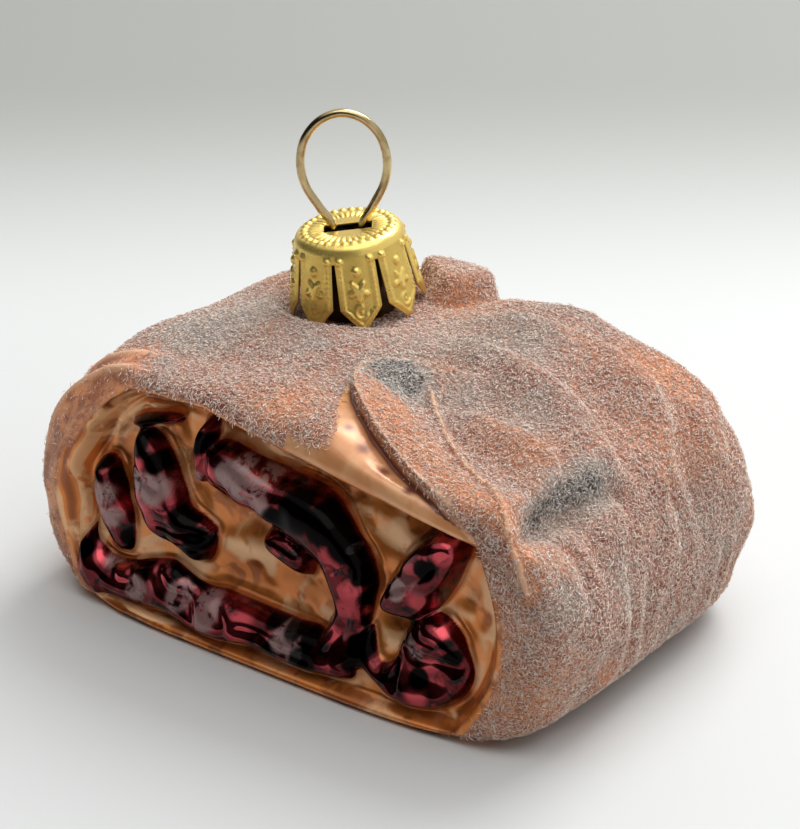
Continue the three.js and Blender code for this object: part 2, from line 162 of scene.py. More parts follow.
# Creases pressed into the cherries: line [x, z], depth and width
CREASES = (
    (((-11.9, 24.2), (-11.6, 22.6), (-10.2, 21.3), (-7, 20.4), (-3.5, 19.6), (-0.5, 18.7)), 0.4, 0.4),
    (((9.8, 16.2), (10.2, 13.2), (9.6, 10.2), (8.6, 7.4), (7.4, 5.2)), 0.5, 0.55),
    (((-19.6, 13.6), (-17, 13.4), (-14.4, 13.6), (-12.2, 13.3)), 0.5, 0.35),
    (((-18.2, 11.9), (-15.6, 11.7), (-12.6, 11.9)), 0.5, 0.35),
    (((-23.4, 21.4), (-21.6, 19.4), (-19.4, 18.6)), 0.35, 0.5),
    (((-29.2, 16.6), (-27.6, 14.2), (-25.8, 12.6)), 0.35, 0.5),
    (((17, 8.2), (17.2, 6.4), (17.6, 4.4)), 1.1, 0.42),
    (((18.4, 9.6), (20.4, 8.6), (22.8, 9.4), (25.4, 9)), 0.5, 0.5),
    (((19.4, 13.2), (20.6, 11.6), (22.6, 11.4)), 0.4, 0.4),
    (((15.6, 15.8), (17.8, 17.4), (20.6, 19.6), (23, 22.6)), 0.55, 0.55),
    (((-27.6, 5.6), (-25.4, 4.2), (-22.6, 4.6)), 0.5, 0.5),
    (((-24.2, 6.6), (-22.4, 4.8), (-21.6, 2.6)), 0.4, 0.5),
    (((-19.4, 7.4), (-17.4, 5.6), (-14.2, 5.4), (-12.4, 3.4)), 0.5, 0.5),
    (((-9.6, 6.2), (-7.4, 4.4), (-7.6, 2.4)), 0.45, 0.5),
    (((-5.4, 4.4), (-2.2, 4.7), (1.4, 3.8), (5.2, 3.8)), 0.5, 0.5),
)
# Painted reflections and highlights on the red lacquer: places where it is painted nearly black (reflection
# of the dark room, and shade), grey (reflection of the fibres above) or bright (highlight): x, z, reach
DARK_REFLECTION_AND_SHADE_SPOTS = (
    (-24.3, 9.9, 1.4), (-28.4, 18.9, 0.9), (-22.4, 23.2, 1.6), (-19.6, 21.6, 1.4), (-15.6, 15.2, 2),
    (-13.6, 13, 1.8), (-14.4, 11.2, 1.7), (-0.6, 20.2, 2), (2.3, 21.8, 3), (6.4, 21.6, 3),
    (9.4, 19.6, 2.8), (11.4, 16.6, 2), (12.4, 13.2, 1.5), (12.4, 10, 1.4), (11.8, 7.4, 1.9),
    (11.4, 5, 1.6), (-16.4, 8.2, 1.3), (-13.8, 7.8, 1.3), (1.9, 7, 1.9), (-1.2, 6.8, 1.5),
    (4.6, 6.2, 1.4), (21, 20.6, 1.6), (14.8, 17.8, 1.2), (16.4, 20.6, 1), (18.2, 12.4, 1.3),
    (24.9, 10.2, 1.1), (17.5, 6.4, 0.9), (-13.4, 26.2, 1.8), (-31, 6.6, 1.2), (4.4, 3.4, 2.2),
    (-21.6, 26.4, 2.6), (20.8, 6.6, 1.5),
)
GREY_REFLECTIONS = (
    (-28, 15.2, 1.8), (-27, 12.4, 1.7), (-19.6, 18.4, 2.2), (-21.4, 18.8, 1.6), (-27, 6.6, 1.6),
    (-22, 4.4, 1.8), (-15.4, 5.4, 2), (-8.2, 23.8, 1.7), (-5.6, 22.9, 1.8), (-3, 21.8, 1.7),
    (16.8, 16.6, 1.5), (19.8, 9.8, 1.5), (1, 5.2, 1.9), (3, 4.4, 1.6), (9.6, 19, 0.6), (6.6, 9.8, 1),
    (-13.8, 21.6, 1), (-10.8, 5, 2.4), (-3.2, 24.2, 1.7), (-6.4, 24.9, 1.5),
)
HIGHLIGHT_SPOTS = (
    (-24.8, 14, 1.3), (-29.8, 17.2, 0.9), (-27.2, 8.6, 1.1), (-20.8, 14.6, 1.9), (-22.8, 17, 1.2),
    (-22, 21.2, 1.1), (-11.2, 22.4, 1.9), (-9.2, 20.6, 1.4), (-5.6, 20, 1.4), (-29.4, 6.4, 1.4),
    (-24.8, 5, 1.6), (-19, 6.6, 1.5), (-12.4, 4.6, 2.2), (-9.4, 5.4, 2.2), (-5.4, 4.9, 2),
    (10.6, 14.4, 1.3), (9.4, 11.4, 1.4), (7.6, 7.6, 1.3), (22.9, 22.8, 1.4), (20.4, 16, 1.8),
    (22.8, 12.8, 1.3), (18.8, 6.6, 1.1), (22, 8.8, 1.5), (-1.4, 15, 1.1), (21, 4.6, 1.6),
)

# Where the lacquered glass is bare of fibres on the top, seen from above
BARE_BAND = (
    (0.6, -30), (0.6, -23.6), (3.6, -23.9), (6.3, -23), (5.8, -21), (3.4, -17.8), (1.2, -14.2),
    (0, -11.4), (1, -11.2), (3.2, -13.8), (6.2, -16.4), (9.7, -18.6), (14.7, -20.5), (18.3, -21.7),
    (22.7, -22.8), (27.6, -23.4), (27.6, -30),
)

# Dark stains on the bare band: x, y, reach
STAINS = ((6.4, -19.6, 0.8), (9.6, -21.0, 1.0), (13.4, -22.2, 0.9), (17.4, -23.0, 0.8), (5.0, -22.0, 0.7))
STAIN_DEPTH = 0.35

TOP_LEVEL = 22  # the top sheet lies above this height
FACE_GRID = {"x": (-37.0, 36.0), "z": (-1.0, 36.0), "step": 0.1}
FACE_BLUR = 0.24  # how softly the glass fills the mould

# Layers of smooth noise: strength, cell in millimetres, seed
FACE_WAVES = ((0.8, 4.2, 3), (0.25, 2.1, 5))  # the first is stretched along the face
FACE_WANDER = ((0.9, 6.0, 31), (0.4, 2.5, 32))
FACE_LUMPS = ((0.8, 4.4, 9), (0.75, 2.3, 10))
SHELL_DRIFT = ((1.0, 7.0, 21), (0.6, 3.2, 22))

# Borders of the fibres: how wide the bare rim of the cut face is, and the smooth rim at the left
BARE_RIM = {"top": 0.1, "right": 0.5, "left": 1.0, "level": 20}
SMOOTH_RIM = {"slope": 0.25, "left": (20.5, 25), "depth": (7, 12)}
# The flap's edge, painted pale as a highlight and bare of most fibres: strength, inset, width, ends
FLAP_RIM_HIGHLIGHT = {"strength": 0.8, "inset": 0.6, "width": 0.45, "ends": (23, 27)}

# Neck, cap and hanger stand on one leaning axis
AXIS = {"x": -13.3, "y": 7.9, "foot": 32.3, "lean_x": -5.6, "lean_y": 4.2}
NECK = {"radius": 5.2, "bore": 3.9, "top": 10.1, "root": -1.5, "sides": 64}
CAP = {
    "top": 11.1, "flat": 5.9, "band": 6.9, "tip": 8.4, "band_down": 1.3, "tip_at": 0.7, "sheet": 0.28,
    "shoulder_relief": 0.2,
    "shoulder": ((6.15, 11.02), (6.4, 10.85), (6.6, 10.6), (6.75, 10.3), (6.85, 10.0)),
}
PETALS = 8
PETAL_TURN = 88.0  # where one of the petals points, degrees from +X
PETAL_GAP = ((-0.3, 7.8), (3.2, 1.0), (8.9, 0.44))  # height and width of the slit between petals
SLOT = {"length": 6.0, "width": 2.3}
HANGER_TURN = 37.0  # the loop and the slot lie along this direction
WIRE = {"radius": 0.54, "steps": 12, "sides": 20}
LOOP = {"half": 5.3, "widest": 8.6, "rise": 14.9, "leg_gap": 1.8, "leg_spread": 2.2, "leg_depth": 4.6}
LOOP_LEAN = 4.0  # degrees by which the loop stands straighter than the cap
SEAT = {"radius": 8.6, "fade": 3.0, "level": 0.4}


# ---- Numbers ----


def smooth(value, low, high):
    t = np.clip((value - low) / (high - low), 0, 1)
    return t * t * (3 - 2 * t)


def bell(value):
    return np.exp(-value * value)


def mix(a, b, t):
    return a + (b - a) * t


def unit(vectors):
    return vectors / np.linalg.norm(vectors, axis=1)[:, None]


def nearest_on_chain(chain, a, b):
    """Distance to the nearest place on a chain of points, and on which side of it that is."""
    nearest, beside = np.full(a.shape, np.inf), np.zeros(a.shape)
    chain = np.array(chain, float)
    for start, end in zip(chain, chain[1:]):
        run = end - start
        off_a, off_b = a - start[0], b - start[1]
        t = np.clip((off_a * run[0] + off_b * run[1]) / (run @ run), 0, 1)
        distance = np.sqrt((off_a - run[0] * t) ** 2 + (off_b - run[1] * t) ** 2)
        beside = np.where(distance < nearest, run[0] * off_b - run[1] * off_a, beside)
        nearest = np.minimum(distance, nearest)
    return nearest, beside


def inside_outline(outline, a, b):
    """Distance to a closed outline, positive inside it."""
    outline = np.asarray(outline, float)
    distance = np.full(a.shape, np.inf)
    inside = np.zeros(a.shape, bool)
    for start, end in zip(outline, np.roll(outline, -1, 0)):
        run = end - start
        t = np.clip(((a - start[0]) * run[0] + (b - start[1]) * run[1]) / (run @ run), 0, 1)
        gap = np.hypot(a - start[0] - run[0] * t, b - start[1] - run[1] * t)
        distance = np.minimum(distance, gap)
        crosses = (start[1] > b) != (end[1] > b)
        level = np.where(crosses, (b - start[1]) / (run[1] if run[1] else 1.0), 0)
        inside ^= crosses & (a < start[0] + run[0] * level)
    return np.where(inside, distance, -distance)


def noise(points, cell, seed):
    """Smooth random values from -1 to 1 that change over about one cell."""
    lattice = np.random.default_rng(seed).uniform(-1, 1, (24, 24, 24))
    spot = points / cell
    low = np.floor(spot).astype(int)
    t = spot - low
    t = t * t * (3 - 2 * t)
    total = 0
    for corner in np.ndindex(2, 2, 2):
        index = (low + corner) % 24
        weight = np.prod(np.where(corner, t, 1 - t), 1)
        total = total + weight * lattice[index[:, 0], index[:, 1], index[:, 2]]
    return total


def layers(points, rows):
    return sum(strength * noise(points, cell, seed) for strength, cell, seed in rows)


# ---- The form of the glass body ----


def plain_roll(cube):
    x, y, z = np.abs(cube).T
    girth = z / (x + z + 1e-9)
    foot = mix(SECTION_ROUNDNESS["foot_left"], SECTION_ROUNDNESS["foot_right"],
               smooth(cube[:, 0], -0.5, 0.5))
    upright = np.where(cube[:, 2] > 0, SECTION_ROUNDNESS["top"], foot)
    p = mix(SECTION_ROUNDNESS["side"], upright, smooth(girth, 0.05, 0.6))
    section = (x**p + z**p) ** (1 / p)
    rim = np.where(cube[:, 1] < 0, RIM_ROUNDNESS["front"], RIM_ROUNDNESS["back"])
    gauge = (section**rim + y**rim) ** (1 / rim)
    shape = cube / gauge[:, None]
    up, down = ROLL["height"] - ROLL["girth"], ROLL["girth"] + ROLL["sole"]
    rise = np.where(shape[:, 2] > 0, up, down)
    spot = np.stack([shape[:, 0] * HALF_X, shape[:, 1] * HALF_Y, ROLL["girth"] + shape[:, 2] * rise], 1)
    blend = section ** (rim - p)
    normal = np.sign(shape) * np.stack(
        [x ** (p - 1) * blend / HALF_X, y ** (rim - 1) / HALF_Y, z ** (p - 1) * blend / rise], 1)
    return spot, unit(normal)


def lip_edge(x):
    drop = np.where(x > LIP["start"], LIP["drop_right"], -LIP["drop_left"])
    return LIP["height"] - drop * (x - LIP["start"])


def inside_recess(x, z):
    left, right = RECESS["left"], RECESS["right"]
    from_left = x - (left[0] + left[2] * (z - left[1]) ** 2)
    from_right = right[0] - right[2] * (z - right[1]) ** 2 - x
    from_foot = RECESS["foot_slope"] * (z - RECESS["foot"])
    return np.minimum.reduce([from_left, from_right, lip_edge(x) - z, from_foot])


def curve_through(outline, parts=4):
    """A closed smooth curve through the points of an outline."""
    points = np.asarray(outline, float)
    before, after, last = np.roll(points, 1, 0), np.roll(points, -1, 0), np.roll(points, -2, 0)
    curve = []
    for t in np.arange(parts)[:, None, None] / parts:
        curve.append(0.5 * (2 * points + (after - before) * t
                            + (2 * before - 5 * points + 4 * after - last) * t**2
                            + (3 * points - before - 3 * after + last) * t**3))
    return np.stack(curve, 1).reshape(-1, 2)


def blurred(field, width):
    """The field smoothed along both of its axes."""
    reach = int(3 * width / FACE_GRID["step"])
    kernel = bell(np.arange(-reach, reach + 1) * FACE_GRID["step"] / width / math.sqrt(2))
    kernel /= kernel.sum()
    for axis in (0, 1):
        field = np.apply_along_axis(lambda line: np.convolve(line, kernel, "same"), axis, field)
    return field


def face_fields():
    """Depth of the cut face, distance inside its cherries, and its painted light and shade, on a fine grid:
    the amber is painted lighter on its crests and darker in its hollows and under the lip.
    """
    steps = [np.arange(*FACE_GRID[axis], FACE_GRID["step"]) for axis in ("x", "z")]
    x, z = np.meshgrid(*steps, indexing="ij")
    inside = inside_recess(x, z)
    plane = np.stack([x, z, 0 * x], -1).reshape(-1, 3)
    floor = mix(*RECESS["floor"], smooth(z, *RECESS["rise"])) * smooth(inside, 0, LIP["wall"])
    waves = layers(plane * (0.55, 1, 1), FACE_WAVES[:1]) + layers(plane, FACE_WAVES[1:])
    wander = layers(plane, FACE_WANDER).reshape(x.shape)
    bumps = waves.reshape(x.shape) * smooth(inside, 1, 3)
    for inset, rise, width in WALL_RIDGES:
        bumps = bumps - rise * bell((inside + wander - inset) / width) * smooth(-x, 12, 24)
    floor += bumps
    lumps = layers(plane, FACE_LUMPS).reshape(x.shape)
    edge = np.full(x.shape, -9.0)
    for outline in CHERRIES.values():
        edge = np.maximum(edge, inside_outline(curve_through(outline), x, z))
    crown = blurred(rounded(edge / CHERRY["dome"]), CHERRY["blur"])
    height = rounded(edge / CHERRY["edge"]) * mix(1 - CHERRY["crown"], 1, crown)
    height = height * (floor + CHERRY["proud"] + CHERRY["lumps"] * lumps)
    for line, depth, width in CREASES:
        height = height - depth * bell(nearest_on_chain(line, x, z)[0] / width) * smooth(edge, 0, 0.8)
    depth = blurred(floor - np.maximum(height, 0), FACE_BLUR)
    # Painted shade under the lip's overhang, which darkens the amber there
    lip_shade = bell((lip_edge(x) - z - 1.5) / 1.2)
    return depth, edge, blurred(bumps, 1.5) - bumps - 0.45 * lip_shade


def rounded(inward):
    """Height of a quarter circle at a distance from its foot, both from 0 to 1."""
    return np.sqrt(np.clip(1 - (1 - np.clip(inward, 0, 1)) ** 2, 0, 1))


FACE_DEPTH, CHERRY_EDGE, FACE_PAINTED_LIGHT = face_fields()


def sample(field, x, z):
    """A face field's value at places between its grid's points."""
    u = np.clip((x - FACE_GRID["x"][0]) / FACE_GRID["step"], 0, field.shape[0] - 1.001)
    v = np.clip((z - FACE_GRID["z"][0]) / FACE_GRID["step"], 0, field.shape[1] - 1.001)
    i, j = u.astype(int), v.astype(int)
    a, b = u - i, v - j
    low = mix(field[i, j], field[i + 1, j], a)
    high = mix(field[i, j + 1], field[i + 1, j + 1], a)
    return mix(low, high, b)


def behind(edge, x, y):
    """Distance behind the edge of a sheet, negative in front of it."""
    distance, side = nearest_on_chain(edge, x, y)
    return np.where(side < 0, distance, -distance)


def fold(edge, shape, x, y):
    """Height of a sheet whose edge is given and that sinks into the ground behind it."""
    inward = behind(edge, x, y)
    front = smooth(inward, -shape["edge"], shape["edge"])
    return shape["thick"] * front * (1 - smooth(inward, shape["flat"], shape["fade"]))


def top_folds(x, y):
    crease = nearest_on_chain(CREASE, x, y)[0]
    flap = fold(FLAP_EDGE, FLAP, x, y)
    leaf = fold(LEAF_EDGE, LEAF, x, y)
    return flap + leaf - CREASE_SHAPE["depth"] * bell(crease / CREASE_SHAPE["width"])


def flap_overhang(x, y):
    """How far the flap's edge hangs over the sheet below it, as [x, y] shifts."""
    step = 0.05
    here = behind(FLAP_EDGE, x, y)
    ahead = [behind(FLAP_EDGE, x + step, y), behind(FLAP_EDGE, x, y + step)]
    inward = (np.stack(ahead, 1) - here[:, None]) / step
    hang = FLAP["hang"] * bell((here - 0.7) / 0.8) * (1 - smooth(x, *FLAP["hang_ends"]))
    return -inward * hang[:, None]


def step_height(path, height, x, y):
    distance, side = nearest_on_chain(path, x, y)
    return height * bell(distance / np.where(side > 0, STEP_RUN[1], STEP_RUN[0]))


def lobe_height(x, y):
    turn = math.radians(LOBE["turn"])
    dx, dy = x - LOBE["x"], y - LOBE["y"]
    along = (dx * math.cos(turn) + dy * math.sin(turn)) / LOBE["along"]
    across = (dy * math.cos(turn) - dx * math.sin(turn)) / LOBE["across"]
    off = np.hypot(along, across)
    return LOBE["height"] * (1 - smooth(off, 0.62, 1)) - LOBE["groove"] * bell((off - 1.1) / 0.13)


def swelling_height(spot):
    height = 0
    for place, reach, rise in SWELLINGS:
        height = height + rise * bell(np.linalg.norm(spot - np.array(place), axis=1) / reach)
    return height


def axis_matrix():
    lean_x, lean_y = math.radians(AXIS["lean_y"]), math.radians(AXIS["lean_x"])
    turn = Matrix.Rotation(lean_x, 4, "X") @ Matrix.Rotation(lean_y, 4, "Y")
    return np.array(Matrix.Translation((AXIS["x"], AXIS["y"], AXIS["foot"])) @ turn)


def move(matrix, points):
    return points @ matrix[:3, :3].T + matrix[:3, 3]


def seat_cap(points):
    matrix = axis_matrix()
    local = move(np.linalg.inv(matrix), points)
    free = smooth(np.hypot(local[:, 0], local[:, 1]), SEAT["radius"], SEAT["radius"] + SEAT["fade"])
    local[:, 2] = mix(np.minimum(local[:, 2], SEAT["level"]), local[:, 2], free)
    return np.where(points[:, 2:] > ROLL["girth"], move(matrix, local), points)


def foot_bulge(x, y, z):
    along = 1 - np.minimum(1, np.abs(x / FOOT_BULGE["half_length"])) ** 4
    near = smooth(-y, HALF_Y - FOOT_BULGE["reach"], HALF_Y)
    return FOOT_BULGE["depth"] * along * near * (1 - smooth(z, 0, FOOT_BULGE["height"]))


def sag_depth(x, y, z):
    return SAG["depth"] * smooth(x, *SAG["x"]) * smooth(-y, -SAG["y"], HALF_Y) * smooth(z, *SAG["z"])


def rim_ridges(x, y, z):
    wander = 1 + sum(share * np.sin(turn * z + start) for share, turn, start in RIM_WANDER)
    height = 0
    for inset, rise, width in RIM_RIDGES:
        height = height + rise * bell((y - FACE_Y - inset * wander) / width)
    return height * smooth(-x, 18, 28)


def unevenness(x, y, z):
    height = 0
    for rise, turn_x, turn_y, turn_z, start in WAVES:
        height = height + rise * np.sin(turn_x * x + turn_y * y + turn_z * z + start)
    turn, sway, fade = SIDE_RIPPLES["turn"], SIDE_RIPPLES["sway"], SIDE_RIPPLES["fade"]
    turned = turn[0] * y + turn[1] * z + sway[0] * np.sin(sway[1] * y + sway[2] * z)
    strength = 0.55 + 0.45 * np.sin(fade[0] * y + fade[1] * z + 1)
    ripples = SIDE_RIPPLES["rise"] * strength * np.sin(turned)
    return (height + ripples * smooth(x, 24, 36)) * smooth(z, 2, 8)


def seam_share(spot, normal):
    """How near each place is to the seam, 0 to 1, measured along the surface."""
    nearest = np.full(len(spot), 9.0)
    for start, end in zip(np.array(SEAM), np.array(SEAM)[1:]):
        run = end - start
        t = np.clip((spot - start) @ run / (run @ run), 0, 1)
        away = spot - start - t[:, None] * run
        off = (away * normal).sum(1)
        distance = np.sqrt(np.maximum((away**2).sum(1) - off**2, 0))
        nearest = np.where(np.abs(off) < 6, np.minimum(nearest, distance), nearest)
    return bell(nearest / SEAM_SHAPE["width"])


def sheet_relief(spot, normal):
    x, y, z = spot.T
    on_top = smooth(normal[:, 2], 0, 0.5)
    relief = on_top * (top_folds(x, y) + lobe_height(x, y)) + unevenness(x, y, z)
    for path, height in STEPS:
        relief = relief + smooth(normal[:, 2], -0.3, 0.3) * step_height(path, height, x, y)
    return relief * smooth(y - FACE_Y, *BEHIND_FACE)


def mould(cube):
    """Points of the cube from -1 to 1 become points of the glass body."""
    spot, normal = plain_roll(cube)
    x, y, z = spot.T
    relief = sheet_relief(spot, normal) + swelling_height(spot) + rim_ridges(x, y, z)
    seam = seam_share(spot, normal)
    relief = relief + SEAM_SHAPE["height"] * seam
    moulded = spot + normal * relief[:, None]
    moulded[:, :2] += flap_overhang(x, y) * smooth(normal[:, 2:], 0.2, 0.6)
    moulded[:, 2] -= sag_depth(x, y, z)
    facing = smooth(-normal[:, 1], *FACING)
    moulded[:, 1] += facing * sample(FACE_DEPTH, x, moulded[:, 2]) - foot_bulge(x, y, moulded[:, 2])
    moulded[:, 2] = np.maximum(moulded[:, 2], 0)
    return seat_cap(moulded), facing, spot, seam


# ---- Grids ----

GRID = (76, 40, 38)
FRONT_BIAS = 0.25


def cube_grid():
    """A cube from -1 to 1 as points and outward quads, finer towards its front."""
    points, quads = [], []
    steps = [np.linspace(-1, 1, n + 1) for n in GRID]
    steps[1] = steps[1] + FRONT_BIAS * (steps[1] ** 2 - 1)
    for axis in range(3):
        u, v = [(axis + 1) % 3, (axis + 2) % 3]
        for side in (-1, 1):
            a, b = np.meshgrid(steps[u], steps[v], indexing="ij")
            face = np.empty((a.size, 3))
            face[:, axis], face[:, u], face[:, v] = side, a.ravel(), b.ravel()
            index = np.arange(a.size).reshape(a.shape) + sum(len(p) for p in points)
            loops = [index[:-1, :-1], index[1:, :-1], index[1:, 1:], index[:-1, 1:]]
            quads.append(np.stack(loops[::side], -1).reshape(-1, 4))
            points.append(face)
    points = np.concatenate(points)
    unique, index = np.unique(points.round(9), axis=0, return_inverse=True)
    return unique, index.reshape(-1)[np.concatenate(quads)]


def refine(points, quads, ngons, wanted):
    """Splits the wanted quads in four; a neighbour takes the new edge points in as corners."""
    tied = np.unique(np.concatenate([np.array(loop) for loop in ngons])) if ngons else np.array([], int)
    wanted = wanted & ~np.isin(quads, tied).any(1)
    count = len(points)
    edges = np.sort(np.stack([quads, np.roll(quads, -1, 1)], 2), 2)
    keys = edges[..., 0] * count + edges[..., 1]
    split = np.unique(keys[wanted])
    middles = (points[split // count] + points[split % count]) / 2
    centres = points[quads[wanted]].mean(1)
    has = np.isin(keys, split)
    middle = count + np.searchsorted(split, keys)
    q, m = quads[wanted], middle[wanted]
    c = count + len(split) + np.arange(len(q))
    children = [np.stack([q[:, i], m[:, i], c, m[:, i - 1]], 1) for i in range(4)]
    touched = ~wanted & has.any(1)
    ngons = list(ngons)
    for i in np.flatnonzero(touched):
        loop = []
        for k in range(4):
            loop.append(quads[i, k])
            if has[i, k]:
                loop.append(middle[i, k])
        ngons.append(loop)
    kept = quads[~wanted & ~touched]
    return np.concatenate([points, middles, centres]), np.concatenate([kept, *children]), ngons


def turned_rings(profile, sides):
    """Points of a turned form: one ring for each radius and height of its profile."""
    return np.concatenate([around(radius, circle(sides), level) for radius, level in profile])


def ring_faces(count, sides):
    """Quads between each ring of points and the next."""
    faces = []
    for low in range(0, (count - 1) * sides, sides):
        for k in range(sides):
            after = (k + 1) % sides
            faces.append([low + k, low + after, low + sides + after, low + sides + k])
    return faces


def mesh_object(name, points, faces, shift=(0, 0, 0)):
    """A smooth-shaded object from points in millimetres."""
    mesh = bpy.data.meshes.new(name)
    mesh.from_pydata(((points + np.array(shift)) * MM).tolist(), [], faces)
    mesh.shade_smooth()
    mesh.update()
    obj = bpy.data.objects.new(name, mesh)
    bpy.context.scene.collection.objects.link(obj)
    return obj


def paint(obj, name, values):
    """One number for each point of the mesh, read by the material."""
    attribute = obj.data.attributes.new(name, "FLOAT", "POINT")
    attribute.data.foreach_set("value", np.ascontiguousarray(values, np.float32))


# ---- Materials ----


class Nodes:
    """Short calls for building the node tree of a new material or world."""

    def __init__(self, owner, shader="Principled BSDF"):
        owner.use_nodes = True
        self.owner = owner
        self.tree = owner.node_tree
        self.shader = self.tree.nodes[shader]

    def add(self, kind, inputs=None, **settings):
        node = self.tree.nodes.new(kind)
        for key, value in settings.items():
            setattr(node, key, value)
        for key, value in (inputs or {}).items():
            self.put(node.inputs[key], value)
        return node

    def put(self, socket, value):
        if isinstance(value, bpy.types.NodeSocket):
            self.tree.links.new(value, socket)
        else:
            socket.default_value = value

    def set(self, **inputs):
        for key, value in inputs.items():
            self.put(self.shader.inputs[key.replace("_", " ")], value)

    def attribute(self, name):
        return self.add("ShaderNodeAttribute", attribute_name=name).outputs["Fac"]

    def place(self, kind):
        """The three coordinates of the place, or of the direction, that is shaded."""
        return self.add("ShaderNodeSeparateXYZ", {0: self.add("ShaderNodeTexCoord").outputs[kind]}).outputs

    def noise(self, scale, detail=3.0, rough=0.55, distort=0.0):
        place = self.add("ShaderNodeTexCoord").outputs["Object"]
        inputs = {"Vector": place, "Scale": scale, "Detail": detail, "Roughness": rough,
                  "Distortion": distort}
        return self.add("ShaderNodeTexNoise", inputs).outputs["Fac"]

    def ramp(self, value, low, high, from_value=0.0, to_value=1.0):
        inputs = {"Value": value, "From Min": low, "From Max": high, "To Min": from_value,
                  "To Max": to_value}
        node = self.add("ShaderNodeMapRange", inputs, interpolation_type="SMOOTHSTEP")
        return node.outputs["Result"]

    def threads(self, scale, width):
        """Thin crooked lines, as of fibres that lie on a surface, 0 to 1."""
        off = self.math("ABSOLUTE", self.math("SUBTRACT", self.noise(scale, 1.5, 0.5, 1.0), 0.5))
        return self.ramp(off, 0.0, width, 1.0, 0.0)

    def math(self, operation, a, b=0.0):
        return self.add("ShaderNodeMath", {0: a, 1: b}, operation=operation).outputs[0]

    def times(self, a, b):
        return self.math("MULTIPLY", a, b)

    def fade(self, strength, value, least):
        """The strength, down to a least share of it where the value is 1."""
        return self.times(strength, self.ramp(value, 0, 1, 1.0, least))

    def blend(self, factor, a, b):
        node = self.add("ShaderNodeMix", {0: factor, 6: a, 7: b}, data_type="RGBA")
        return node.outputs[2]

    def tint(self, base, colour, value, low, high, share=1.0):
        """The base, turned to the colour by a share where the value passes from low to high."""
        return self.blend(self.ramp(value, low, high, 0.0, share), base, colour)

    def bump(self, height, distance, strength=1.0):
        inputs = {"Height": height, "Distance": distance, "Strength": strength}
        return self.add("ShaderNodeBump", inputs).outputs["Normal"]


def rgb(red, green, blue):
    return (red, green, blue, 1.0)


def grey_level(level):
    return rgb(level, level, level)


AMBER = rgb(0.80, 0.25, 0.05)
AMBER_HIGHLIGHT = rgb(1.0, 0.56, 0.27)
AMBER_DEEP = rgb(0.28, 0.065, 0.010)
PEACH = rgb(0.68, 0.29, 0.12)
PEACH_PALE = rgb(0.84, 0.46, 0.23)
RED = rgb(0.12, 0.006, 0.01)
RED_BRIGHT = rgb(0.50, 0.06, 0.075)
RED_DARK = rgb(0.002, 0.001, 0.001)
RED_GREY_REFLECTION = rgb(0.33, 0.20, 0.19)
SHELL = rgb(0.34, 0.14, 0.09)
SHELL_GREY = rgb(0.29, 0.22, 0.185)
SHELL_DARK = rgb(0.055, 0.045, 0.038)
SHELL_RUST = rgb(0.22, 0.065, 0.035)
SHELL_ORANGE = rgb(0.56, 0.20, 0.085)
RIM_LIGHT = rgb(0.84, 0.34, 0.15)
RIM_DARK = rgb(0.42, 0.14, 0.07)
SHELL_PALE = rgb(0.88, 0.53, 0.32)
THREAD = rgb(0.78, 0.50, 0.39)
THREAD_GREY = rgb(0.62, 0.55, 0.49)
THREAD_WARM = rgb(0.90, 0.50, 0.30)


def amber_colour(n, inside, painted_light_and_stains, highlight_streaks):
    """The amber lacquer beside the cherries, with painted highlight streaks and painted shade in its
    hollows and next to the cherries, and the paler band over the cut face, darker at its stains and in
    painted shade before the flap's edge.
    """
    amber = n.tint(AMBER, AMBER_DEEP, n.noise(240, 3, 0.5, 0.6), 0.5, 0.6, 0.7)
    # Painted shade: darker in the amber's hollows and under the lip
    amber = n.tint(amber, AMBER_DEEP, painted_light_and_stains, -0.05, -0.4)
    amber = n.blend(highlight_streaks, amber, AMBER_HIGHLIGHT)
    # Painted shade: the amber darkens next to the cherries
    amber = n.tint(amber, AMBER_DEEP, inside, -0.8, 0.1, 0.7)
    peach = n.tint(PEACH, PEACH_PALE, n.noise(170, 3, 0.5, 0.4), 0.42, 0.62, 0.8)
    # The band darkens at its stains and in painted shade before the flap's edge
    return n.blend(n.attribute("band"), amber, n.tint(peach, SHELL_RUST, painted_light_and_stains, -0.05, -0.4))


def red_colour(n, inside, grey_reflection_and_fibre_share, dark):
    """The red lacquer of the cherries, with its painted highlights, painted grey reflections, and nearly
    black places of painted dark reflection and shade.
    """
    stroke = n.noise(330, 4, 0.6, 1.2)
    red = n.tint(RED_DARK, RED, stroke, 0.38, 0.52)
    red = n.tint(red, RED_BRIGHT, n.noise(280, 4, 0.6, 0.8), 0.54, 0.64, 0.6)
    bright = n.times(n.ramp(n.attribute("bright"), 0.2, 0.8), n.ramp(stroke, 0.34, 0.5, 0.35, 1.0))
    red = n.blend(bright, red, RED_BRIGHT)
    red = n.blend(grey_reflection_and_fibre_share, red, RED_GREY_REFLECTION)
    red = n.blend(dark, red, RED_DARK)
    return n.tint(RED, red, inside, 0.0, 0.25)


